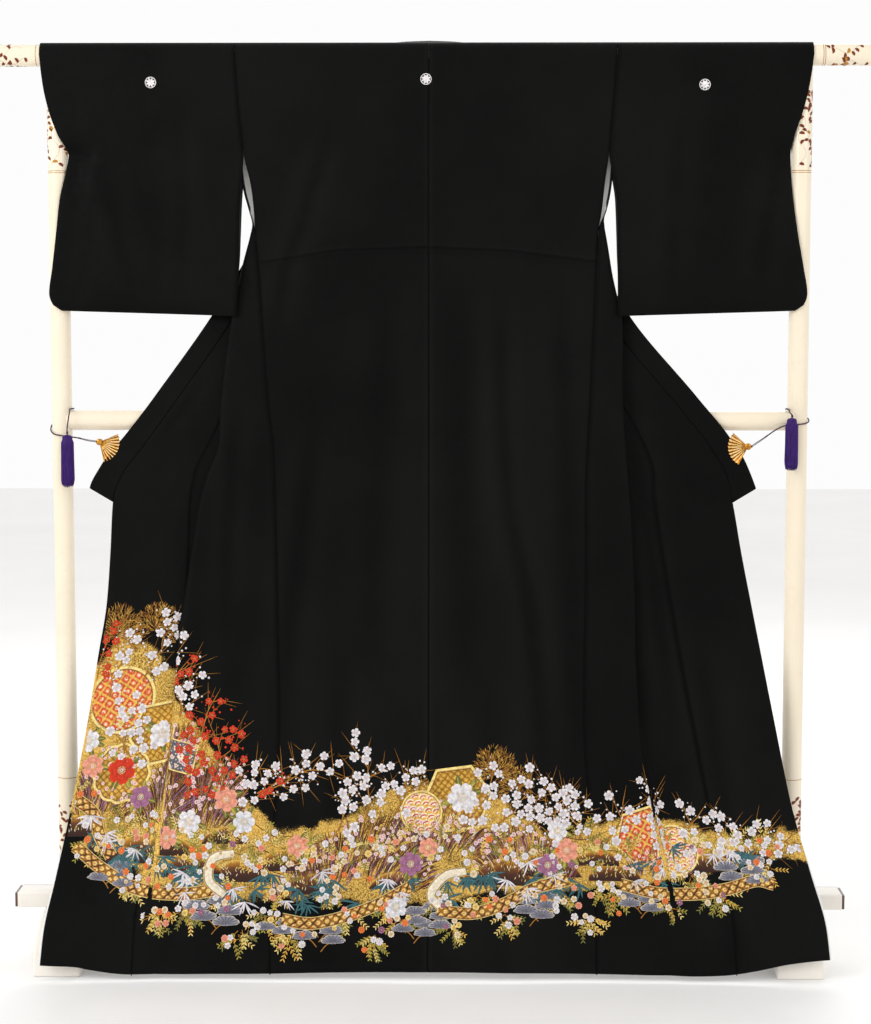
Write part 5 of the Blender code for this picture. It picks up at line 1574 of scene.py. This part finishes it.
def inked(flat, ground, metal=0.0, layers=()):
    """Colours and metals of one ground with layers laid over it, each where its mask is true."""
    colours, metals = np.tile(INK[ground], (len(flat), 1)), np.full(len(flat), metal)
    for mask, ink, shine in layers:
        colours[mask], metals[mask] = INK[ink], shine
    return colours, metals


def hemp_leaf(flat):
    """Star lattice of fine lines, with red hearts on cream."""
    nearest = np.ones(len(flat))
    for k in range(3):
        nearest = np.minimum(nearest, near_line(flat, 0.0150, k * math.pi / 3))
        nearest = np.minimum(nearest, near_line(flat, 0.0260, math.pi / 6 + k * math.pi / 3) * 1.7)
    hearts = near_line(flat, 0.0150, 0.0) * near_line(flat, 0.0150, math.pi / 3)
    return inked(flat, "cream", 0.0, ((nearest < 0.22, "slate", 0.0), (hearts > 0.78, "red", 0.0)))


def waves(flat):
    """Overlapping round scales, each of five rings."""
    size = 0.0120
    layers = []
    first = np.ceil((flat[:, 1] - size) / (size / 2))
    done = np.zeros(len(flat), bool)
    for k in range(5):
        row = first + k
        away = flat[:, 0] - (row % 2) * size
        away = away - np.round(away / (2 * size)) * 2 * size
        share = np.hypot(away, flat[:, 1] - row * size / 2) / size
        inside = (share < 1.0) & ~done
        for j, tone in enumerate(("orange", "cream", "rose", "cream", "gold")):
            layers.append((inside & (share >= j / 5), tone, 0.7 if tone == "gold" else 0.0))
        done |= inside
    return inked(flat, "salmon", 0.0, layers)


def gilt_ground(flat):
    """Gilt ground with a fine woven diamond figure."""
    colours, metals = inked(flat, "gold", 0.75, ((lattice(flat, 0.0085)[0] < 0.28, "deep_gold", 0.75),))
    shade = 0.85 + 0.25 * np.sin(flat[:, 0] * 60.0 + 1.0) * np.cos(flat[:, 1] * 45.0)
    return colours * shade[:, None], metals


def brocade(flat):
    """Red ground with gilt lattice and small flowers in its cells."""
    lines, cells = lattice(flat, 0.0160)
    return inked(flat, "rose", 0.0, ((cells > 0.45, "orange", 0.0), (cells > 0.68, "cream", 0.0),
                                     (cells > 0.86, "deep_red", 0.0), (lines < 0.20, "gold", 0.7)))


def chain_band(flat):
    """Running figure of diamonds and dots for the ribbons."""
    lines, cells = lattice(flat, 0.0110)
    return inked(flat, "ochre", 0.3, ((cells > 0.35, "pale_gold", 0.5), (cells > 0.66, "rose", 0.0),
                                      (lines < 0.18, "umber", 0.0)))


def pale_band(flat):
    """Cream ribbon, shaded to one side."""
    colours, metals = inked(flat, "cream")
    shade = 0.80 + 0.20 * smooth(-0.010, 0.010, flat[:, 1])
    return colours * shade[:, None], metals


# Where the design's shapes lie. A place is the distance along the cloth from the back's middle, and a height
LAYOUT_PANELS = (
    # place, size, outline, pattern, turn, level
    ((-0.577, 0.465), 0.058, circle, brocade, 0.3, 1.6),
    ((-0.497, 0.410), 0.060, polygon(6), gilt_ground, 0.22, 2.2),
    ((-0.430, 0.372), 0.038, polygon(4), hemp_leaf, 0.55, 2.6),
    ((-0.560, 0.340), 0.052, scallop, gilt_ground, 0.0, 2.4),
    ((0.050, 0.300), 0.062, polygon(6), gilt_ground, 0.12, 1.8),
    ((-0.012, 0.278), 0.036, circle, waves, 0.4, 2.2),
    ((0.372, 0.240), 0.054, polygon(6), brocade, 0.30, 1.6),
    ((0.438, 0.215), 0.042, circle, waves, 0.0, 2.2),
)

LAYOUT_BANDS = (
    # width, level, points
    (0.022, 6.0, ((-0.640, 0.300), (-0.600, 0.272), (-0.585, 0.235), (-0.560, 0.200))),
    (0.022, 6.0, ((-0.625, 0.215), (-0.575, 0.180), (-0.510, 0.150), (-0.430, 0.142), (-0.360, 0.150))),
    (0.021, 6.2, ((-0.250, 0.100), (-0.200, 0.092), (-0.140, 0.103), (-0.080, 0.125), (-0.030, 0.152))),
    (0.021, 6.2, ((0.015, 0.112), (0.075, 0.108), (0.130, 0.124), (0.180, 0.150), (0.240, 0.166))),
    (0.021, 6.2, ((0.330, 0.160), (0.395, 0.146), (0.455, 0.143),
                 (0.520, 0.150), (0.570, 0.160), (0.600, 0.150))),
)

# Folded ends of pale ribbon: points
LAYOUT_TURNS = (
    ((-0.350, 0.140), (-0.378, 0.165), (-0.372, 0.200), (-0.335, 0.210)),
    ((0.020, 0.118), (0.005, 0.140), (0.030, 0.170), (0.065, 0.178)),
)

# Open flowers: place, size, kind
LAYOUT_BLOOMS = (
    (-0.625, 0.395, 0.020, "white"), (-0.612, 0.352, 0.020, "salmon"), (-0.560, 0.345, 0.025, "red"),
    (-0.520, 0.300, 0.020, "mauve"), (-0.497, 0.408, 0.023, "white"), (-0.455, 0.235, 0.020, "salmon"),
    (-0.415, 0.262, 0.021, "white"), (-0.350, 0.300, 0.022, "salmon"), (-0.318, 0.262, 0.020, "blue"),
    (-0.225, 0.222, 0.019, "salmon"), (-0.030, 0.190, 0.021, "mauve"), (0.000, 0.218, 0.017, "salmon"),
    (0.058, 0.302, 0.026, "white"), (0.205, 0.190, 0.020, "mauve"), (0.238, 0.215, 0.021, "salmon"),
    (0.222, 0.248, 0.018, "white"), (-0.055, 0.118, 0.020, "blue"),
)

LAYOUT_TWIGS = (
    # place, heading, length, blossom
    (-0.628, 0.500, 1.65, 0.085, "red"), (-0.600, 0.470, 1.50, 0.110, "white"),
    (-0.545, 0.500, 1.30, 0.100, "white"), (-0.480, 0.470, 1.05, 0.080, "red"),
    (-0.430, 0.440, 1.45, 0.115, "white"), (-0.400, 0.400, 1.15, 0.080, "red"),
    (-0.560, 0.330, 1.50, 0.120, "white"), (-0.420, 0.300, 1.20, 0.110, "red"),
    (-0.370, 0.300, 1.40, 0.120, "red"), (-0.335, 0.290, 0.85, 0.085, "white"),
    (-0.300, 0.300, 1.05, 0.070, "red"), (-0.295, 0.310, 0.55, 0.105, "white"),
    (-0.225, 0.345, 0.50, 0.070, "white"),
    (-0.155, 0.245, 1.05, 0.085, "white"), (-0.110, 0.260, 1.30, 0.110, "white"),
    (-0.060, 0.270, 1.20, 0.085, "white"), (0.060, 0.255, 0.90, 0.100, "white"),
    (0.110, 0.250, 0.70, 0.110, "white"), (0.160, 0.240, 0.95, 0.100, "white"),
    (0.205, 0.215, 1.35, 0.090, "white"), (0.260, 0.235, 1.30, 0.105, "white"),
    (0.300, 0.225, 0.95, 0.090, "white"), (0.385, 0.215, 1.35, 0.105, "white"),
    (0.450, 0.205, 1.10, 0.090, "white"), (0.500, 0.205, 1.00, 0.080, "white"),
    (0.560, 0.195, 0.80, 0.075, "white"), (0.600, 0.200, 0.55, 0.060, "white"),
)

LAYOUT_MOUNDS = (
    # place, width, height, lean, strokes
    (-0.600, 0.270, 0.13, 0.12, 0.2, 420), (-0.470, 0.275, 0.12, 0.16, 0.3, 560),
    (-0.400, 0.250, 0.15, 0.13, 0.4, 520), (-0.130, 0.150, 0.28, 0.13, 0.5, 720),
    (0.000, 0.205, 0.20, 0.10, 0.3, 480), (0.170, 0.175, 0.18, 0.09, -0.3, 420),
    (0.400, 0.175, 0.14, 0.06, 0.2, 220),
)

LAYOUT_TUFTS = (
    # place along the cloth, height, size, needles
    (-0.605, 0.575, 0.056, 330), (-0.540, 0.585, 0.050, 260), (-0.455, 0.500, 0.036, 110),
    (0.115, 0.342, 0.050, 280), (0.150, 0.318, 0.040, 150), (-0.020, 0.315, 0.030, 80),
)

LAYOUT_HILLS = (
    # place, height, width, rise
    (-0.625, 0.232, 0.070, 0.040), (-0.575, 0.205, 0.090, 0.040), (-0.520, 0.190, 0.100, 0.046),
    (-0.455, 0.205, 0.090, 0.036), (-0.410, 0.170, 0.110, 0.040), (-0.320, 0.162, 0.100, 0.040),
    (-0.350, 0.225, 0.080, 0.030), (-0.250, 0.180, 0.090, 0.034), (-0.205, 0.140, 0.110, 0.034),
    (-0.060, 0.148, 0.080, 0.028), (0.120, 0.155, 0.120, 0.044), (0.205, 0.170, 0.110, 0.038),
    (0.290, 0.190, 0.080, 0.028), (0.320, 0.165, 0.090, 0.030), (0.480, 0.178, 0.120, 0.032),
    (0.560, 0.195, 0.090, 0.024), (0.030, 0.255, 0.070, 0.022),
)

# Small bushes: place
LAYOUT_BUSHES = (
    (-0.630, 0.310), (-0.605, 0.250), (-0.545, 0.262), (-0.560, 0.225), (-0.500, 0.232), (-0.470, 0.190),
    (-0.440, 0.245), (-0.395, 0.225), (-0.370, 0.200), (-0.330, 0.225), (-0.300, 0.190), (-0.270, 0.232),
    (-0.235, 0.190), (-0.205, 0.225), (-0.160, 0.205), (0.085, 0.205), (0.130, 0.225), (0.175, 0.205),
    (0.265, 0.240), (0.300, 0.215), (0.345, 0.205), (0.490, 0.215), (0.540, 0.222), (0.590, 0.222),
)


def draw_hem_design():
    """Lays out the whole design from the left front edge round to the right one."""
    art = Design(DESIGN_SEED)
    dice = art.dice
    for u, v, size, count in LAYOUT_TUFTS:
        art.tuft((u, v), size, count)
    for u, v, *shape in LAYOUT_MOUNDS:
        art.mound((u, v), *shape)
    for u, v, width, height in LAYOUT_HILLS:
        art.hill((u, v), width, height)
    # Flowing water behind the flowers
    for k in range(WATER_LINES):
        start = dice.uniform(-0.62, 0.50)
        us = np.linspace(start, start + dice.uniform(0.05, 0.14), 12)
        base = dice.uniform(0.15, 0.80)
        vs = line_at(GOLD_LOW, us) * (1 - base) + line_at(GOLD_TOP, us) * base + 0.005 * np.sin(us * 52.0 + k)
        tone = ("brown", "umber", "ochre", "deep_gold", "umber")[k % 5]
        art.stroke(np.stack((us, vs), axis=1), 0.0016 * np.sin(np.linspace(0.1, 3.0, 12)), INK[tone], 0.3)
    for panel in LAYOUT_PANELS:
        art.panel(*panel)
    # Branches of blossom along the upper edge
    for u, v, heading, length, kind in LAYOUT_TWIGS:
        art.twig((u, v), heading, length, 0.0030, kind)
    for u, v, size, kind in LAYOUT_BLOOMS:
        art.bloom((u, v), size, kind)
    # Blade leaves in teal and white
    for k in range(BLADE_CLUSTERS):
        u = dice.uniform(-0.61, 0.57)
        v = float(line_at(GOLD_LOW, u)) + dice.uniform(-0.012, 0.048)
        if k % 3:
            art.blades((u, v), dice.uniform(0.022, 0.034), INK["teal"], INK["teal"] * 0.5, 3.5,
                       dice.uniform(-2.4, -0.7))
        else:
            art.blades((u, v), dice.uniform(0.020, 0.028), INK["white"], INK["lilac"], 5.2,
                       dice.uniform(-2.2, -0.9))
    for width, level, knots in LAYOUT_BANDS:
        art.band(knots, width, chain_band, level)
    for knots in LAYOUT_TURNS:
        art.band(knots, 0.018, pale_band, 7.2, 0.25)
    # Grey boughs and posies along the lower edge
    for k, u in enumerate(np.arange(-0.600, 0.610, 0.046)):
        low = float(line_at(GOLD_LOW, u))
        drop = 0.030 + 0.022 * math.sin(2.4 * k) + 0.022 * math.exp(-((u + 0.22) / 0.20) ** 2)
        if k % 4 == 1:
            art.cloud_pine((u, low - drop + 0.020), dice.uniform(0.024, 0.030))
        else:
            art.posy((u, low - drop), dice.uniform(0.022, 0.028), dice.integers(6, 11))
        if k % 2:
            art.posy((u + 0.020, low - dice.uniform(-0.006, 0.016)), 0.020, 6)
        if k % 5 == 2 and -0.45 < u < 0.15:
            art.cloud_pine((u + 0.020, low - drop - 0.012), 0.024, 3)
    for spot in LAYOUT_BUSHES:
        art.posy(spot, dice.uniform(0.020, 0.026), dice.integers(3, 7), False)
    # Sprigs of small flowers all over
    for _ in range(SPRIGS):
        u = dice.uniform(-0.62, 0.62)
        low, top = float(line_at(GOLD_LOW, u)), float(line_at(GOLD_TOP, u))
        art.posy((u, low + (top - low) * dice.uniform(0.0, 0.60)), 0.015, 4, False)
    return art


def cloth_table(side):
    """Surface of a side's cloth by height and distance along it: places, outward normals, what shows."""
    reach = np.concatenate((NECK_DISTANCES[:8], TABLE_REACH))
    grid = np.zeros((len(TABLE_HEIGHTS), len(reach), 3))
    shown = np.zeros(grid.shape[:2], bool)
    for i, height in enumerate(TABLE_HEIGHTS):
        back, along = back_row(side, height)
        width, length = half(side, "back_side", height), front_length(height)
        front, arcs = front_row(side, height, 0.0, length, 170)
        spots = dressed(np.concatenate((back[:-1], front)))
        ways = np.concatenate((along[:-1], width + arcs))
        for k in range(3):
            grid[i, :, k] = np.interp(reach, ways, spots[:, k])
        arc = reach - width
        outer = half(side, "overhang", height)
        out = np.abs(grid[i, :, 0])
        overhang = out[arc <= outer].max()
        hidden = arc[(arc > outer) & (out < overhang - 0.002)]
        last_hidden = hidden.max() if len(hidden) else outer
        past_fold = (arc > last_hidden + FOLD_MARGIN) & (out > overhang + FOLD_MARGIN)
        shown[i] = ((arc <= outer - FOLD_MARGIN) | past_fold) & (arc < length - EDGE_MARGIN)
    normals = np.cross(np.gradient(grid, axis=1), np.gradient(grid, axis=0)) * sign(side)
    normals /= np.linalg.norm(normals, axis=2)[..., None] + 1e-12
    return reach, grid, normals, shown


def art_piece(name, art, places, visible, material):
    """A mesh of the shapes of a design, put at the places found for its points."""
    kept = [face for face in art.faces if all(visible[n] for n in face)]
    used = np.unique(np.concatenate(kept))
    numbers = np.full(len(places), -1)
    numbers[used] = np.arange(len(used))
    piece = add_piece(name, places[used], [numbers[list(face)] for face in kept], [material])
    colours = np.concatenate(art.colours)[used]
    put_values(piece, "paint", np.append(colours, np.ones((len(used), 1)), axis=1), "FLOAT_COLOR", "color")
    put_values(piece, "metal", np.concatenate(art.metals)[used])
    return piece


def hem_pieces(art, side, material):
    """The hem design on one side of the cloth: a piece on its back, and one on its front and overlap."""
    reach, grid, normals, shown = cloth_table(side)
    spots, lifts = np.concatenate(art.spots), np.concatenate(art.lifts)
    out = np.maximum(spots[:, 0] * sign(side), 0.0)
    columns = np.interp(out, reach, np.arange(len(reach)))
    rows = np.clip((spots[:, 1] - TABLE_HEIGHTS[0]) / TABLE_STEP, 0.0, len(TABLE_HEIGHTS) - 1.001)
    i, j = rows.astype(int), np.minimum(columns.astype(int), len(reach) - 2)
    a, b = (rows - i)[:, None], (columns - j)[:, None]

    def at(table):
        return ((table[i, j] * (1 - b) + table[i, j + 1] * b) * (1 - a)
                + (table[i + 1, j] * (1 - b) + table[i + 1, j + 1] * b) * a)

    visible = shown[i, j] & shown[i, j + 1] & shown[i + 1, j] & shown[i + 1, j + 1]
    visible &= out < reach[-1] - 0.004
    beside = out <= 0.0
    places = at(grid) + at(normals) * (CLOTH / 2 + lifts)[:, None]
    faces, made = art.faces, []
    for name, inner, outer in (("hem_design_", 0.0, DESIGN_FRONT_START),
                               ("hem_design_front_", DESIGN_FRONT_START, 1.0)):
        art.faces = [face for face in faces
                     if inner <= out[face[0]] < outer and not all(beside[n] for n in face)]
        made.append(art_piece(name + side, art, places, visible, material))
    art.faces = faces
    return made


def crest_piece(name, x, z, material):
    """A plain white roundel in a crest's place: a ring round a rosette of petals."""
    art = Design(3)
    white = INK["white"]
    way = round_turn(CREST_SPOKES)[1]
    # The ring takes the sides of a tube, without its two caps
    art.add(np.concatenate((way * 0.0083, way * 0.0095)), tube_faces(CREST_SPOKES, 2)[:-2], white, 1)
    for k in range(CREST_PETALS):
        turn = (2 * k + 1) * math.pi / CREST_PETALS
        spot = 0.0046 * aim(turn)
        petal = spot + turned(way * (0.0033, 0.00175), turn)
        art.add(np.concatenate(([spot], petal)), hub_faces(CREST_SPOKES), white, 1 + 0.1 * k)
    art.disc(np.zeros(2), 0.0013, white, white, 1, 16)
    spots = np.concatenate(art.spots) + (x, z)
    places = np.stack((spots[:, 0], np.zeros(len(spots)), spots[:, 1]), axis=1)
    places[:, 1] = relief(places) - WRAP_R - CLOTH / 2 - np.concatenate(art.lifts)
    return art_piece(name, art, places, np.ones(len(spots), bool), material)


def vine(art, start, heading, length):
    """A fine pale scroll with comma-shaped leaves in loose pairs."""
    dice = art.dice
    points = [np.asarray(start, float)]
    for k in range(int(length / VINE_STEP)):
        angle = heading + 0.75 * math.sin(0.42 * k + 3.0 * start[0] * 100)
        points.append(points[-1] + VINE_STEP * aim(angle))
        for way in (-1, 1):
            if dice.random() < 0.22:
                art.leaf(points[-1], angle + way * dice.uniform(0.5, 1.2), dice.uniform(0.0085, 0.0125),
                         0.0054, INK["bark" if dice.random() < 0.8 else "ochre"], 1, way * 1.5)
    art.stroke(points, 0.0006, INK["scroll"], 0, 0.2)


def stand_ornament(name, centre, axis, radius, spans, material):
    """Lacquer painting of vines round a post or the rod, closed by fine gilt rings."""
    art = Design(17 + len(name))
    girth = 2 * math.pi * radius
    for low, high in spans:
        for k in range(VINES):
            turn = girth * (k + 0.5 * art.dice.random()) / VINES
            start = (turn, low + 0.10 * (high - low) * art.dice.random())
            vine(art, start, math.pi / 2 + art.dice.normal(0.0, 0.12), 0.86 * (high - low))
        for along in (low, low + 0.0032, high):
            around = np.linspace(0.0, girth, 49)
            art.stroke(np.stack((around, np.full(49, along)), axis=1), 0.0010, INK["ochre"], 0, 0.5)
    spots = np.concatenate(art.spots)
    turns = spots[:, 0] / radius
    lifts = radius + 0.00006 + 0.25 * np.concatenate(art.lifts)
    across, over = lifts * np.cos(turns), lifts * np.sin(turns)
    order = (across, over, spots[:, 1]) if axis == "Z" else (spots[:, 1], across, over)
    places = np.stack(order, axis=1) + np.array(centre)
    return art_piece(name, art, places, np.ones(len(spots), bool), material)


def seam_threads(side, material):
    """Black sewing thread that fills the seams between a side's pieces."""
    parts = []
    for seam, top, bottom in SEAMS:
        points = []
        heights = np.append(np.arange(top, bottom + THREAD_STEP / 2, -THREAD_STEP), bottom)
        for height in heights:
            if seam == "side":
                points.append(front_row(side, height, 0.0, 0.1, 1)[0][0])
            elif seam == "sleeve_rear":
                points.append(sleeve_rows(side, height, (0.0,))[1][0])
            elif seam == "sleeve":
                points.append((sign(side) * (half(side, "back_side", height) + GAP / 2),
                               back_side_depth(side, height), height))
            else:
                length = front_length(height) if seam == "collar" else cut("front", height)
                spot = front_points(side, height, 0.0, length, 1)[0][1]
                points.append(spot + (sign(side) * 0.0003 if seam == "collar" else 0.0, 0.0, 0.0))
        radius = np.full(len(heights), THREAD_R)
        if seam == "collar":
            radius += 0.0009 * smooth(COLLAR_TIP + 0.030, COLLAR_TIP, heights)
        parts.append(tube_mesh(dressed(points, hem=False), radius, 6))
    if side == "left":
        line = [(0.0, cut("middle", height), height + hem_lift(0.0, height))
                for height in np.arange(1.565, 0.014, -THREAD_STEP)]
        parts.append(tube_mesh(dressed(line, hem=False), THREAD_R, 6))
    piece = add_piece("seam_thread_" + side, *joined(parts), [material])
    even_normals(piece)
    return piece


def rounded_wood(name, node, bevel, material):
    """A CAD solid of the stand with its sharp edges rounded."""
    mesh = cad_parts[node].data
    piece = add_piece(name, [tuple(vert.co) for vert in mesh.vertices],
                      [tuple(face.vertices) for face in mesh.polygons], [material])
    shape = bmesh.new()
    shape.from_mesh(piece.data)
    bmesh.ops.remove_doubles(shape, verts=shape.verts, dist=0.00001)
    bmesh.ops.dissolve_limit(shape, angle_limit=math.radians(0.5), verts=shape.verts, edges=shape.edges)
    sharp = [edge for edge in shape.edges
             if len(edge.link_faces) == 2 and edge.calc_face_angle() > math.radians(35.0)]
    bmesh.ops.bevel(shape, geom=sharp, offset=bevel, segments=4, profile=0.5, affect="EDGES",
                    clamp_overlap=True)
    bmesh.ops.triangulate(shape, faces=[face for face in shape.faces if len(face.verts) > 4])
    shape.to_mesh(piece.data)
    shape.free()
    even_normals(piece)
    piece.data.set_sharp_from_angle(angle=math.radians(30.0))
    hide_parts(node)
    return piece


def stage_and_light():
    """Pale floor, soft studio light and the camera at the photograph's viewpoint."""
    scene = bpy.context.scene
    floor = add_piece("floor", [(-9, -9, 0), (9, -9, 0), (9, 9, 0), (-9, 9, 0)], [(0, 1, 2, 3)],
                      [floor_finish()], body=None)
    world = bpy.data.worlds.new("studio")
    world.use_nodes = True
    sky = world.node_tree.nodes["Background"].inputs
    sky["Color"].default_value = (1.0, 1.0, 1.0, 1.0)
    sky["Strength"].default_value = SKY_STRENGTH
    scene.world = world
    scene.view_settings.view_transform = "Standard"
    for name, place, target_z, size, power in LAMPS:
        light = bpy.data.lights.new(name, "AREA")
        light.shape = "DISK"
        light.size = size
        light.energy = power
        lamp = bpy.data.objects.new(name, light)
        lamp.location = place
        way = Vector((0.0, 0.0, target_z)) - Vector(place)
        lamp.rotation_euler = way.to_track_quat("-Z", "Y").to_euler()
        scene.collection.objects.link(lamp)
    camera = bpy.data.cameras.new("camera")
    camera.lens = CAMERA_LENS
    camera.sensor_width = CAMERA_SENSOR
    camera.sensor_fit = "AUTO"
    camera.clip_end = 60.0
    made = bpy.data.objects.new("camera", camera)
    made.location = CAMERA_PLACE
    made.rotation_euler = (math.radians(90.0 - CAMERA_DOWN), 0.0, math.radians(CAMERA_TURN))
    scene.collection.objects.link(made)
    scene.camera = made


def dress(names, material):
    """Gives carried-over solids a material in every slot."""
    for name in names:
        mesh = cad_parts[name].data
        if not mesh.materials:
            mesh.materials.append(material)
        for slot in range(len(mesh.materials)):
            mesh.materials[slot] = material


stage_and_light()
silk, plain_silk = silk_finish("black_crepe", True), silk_finish("black_crepe_plain", False)
lining, white = lining_finish(), white_finish()
# The second and third gilts are painted highlight and painted shade copies, for the fan's alternate pleats
gilt = [gilt_finish("gilt_metal", (0.34, 0.13, 0.018), (0.72, 0.36, 0.060)),
        gilt_finish("gilt_pleat_painted_highlight", (0.84, 0.48, 0.085), (1.0, 0.82, 0.44)),
        gilt_finish("gilt_pleat_painted_shade", (0.16, 0.036, 0.005), (0.40, 0.135, 0.016))]
thread = thread_finish("purple_thread", (0.006, 0.0012, 0.032), (0.076, 0.018, 0.250))
cord_thread = thread_finish("cord_thread", (0.020, 0.006, 0.020), (0.070, 0.022, 0.060))
cream = lacquer_finish("cream_lacquer", (0.765, 0.665, 0.505), (0.825, 0.735, 0.580), 0.20)
white_wood = lacquer_finish("white_lacquer", (0.78, 0.73, 0.655), (0.84, 0.80, 0.735), 0.20)
dark = lacquer_finish("dark_lacquer", (0.055, 0.020, 0.010), (0.110, 0.038, 0.018), 0.18)
hem_paint, lacquer_paint = paint_finish("hem_paint", 0.35, 0.55), paint_finish("lacquer_paint", 0.05, 0.22)

pieces = {}
for side in ("left", "right"):
    pieces["body_" + side] = body_cloth(side, [silk, lining])
    pieces["overlap_" + side] = overlap_cloth(side, [silk, lining])
    pieces["sleeve_" + side] = sleeve_cloth(side, [plain_silk, lining])
    pieces["underlayer_" + side] = underlayer_cloth(side, [white])
pieces["collar"] = collar_cloth([plain_silk])

for row in CLIPS:
    fan_piece(row, gilt)
    cord_piece(row, cord_thread)
    tassel_piece(row, thread)

dress(("rod", "middle_bar", "beam", "post_left", "post_right", "foot_left", "foot_right"), cream)
rounded_wood("beam_rounded", "beam", BEAM_EDGE, white_wood)
for side in ("left", "right"):
    rounded_wood("foot_rounded_" + side, "foot_" + side, FOOT_EDGE, white_wood)
dress(("rod_cap_left", "rod_cap_right", "beam_cap_left", "beam_cap_right"), dark)

art = draw_hem_design()
extras = {name: [] for name in pieces}
for side in ("left", "right"):
    extras["body_" + side] += hem_pieces(art, side, hem_paint) + [seam_threads(side, plain_silk)]
for name, x, z, owner in CRESTS:
    extras[owner].append(crest_piece(name, x, z, hem_paint))
for side in ("left", "right"):
    way = sign(side)
    post, rod_end = (way * POST_X, 0.0, 0.0), sorted(way * end for end in ROD_PAINTED)
    stand_ornament("ornament_post_" + side, post, "Z", POST_R, POST_PAINTED, lacquer_paint)
    stand_ornament("ornament_rod_" + side, (0.0, 0.0, ROD_Z), "X", ROD_R, (rod_end,), lacquer_paint)
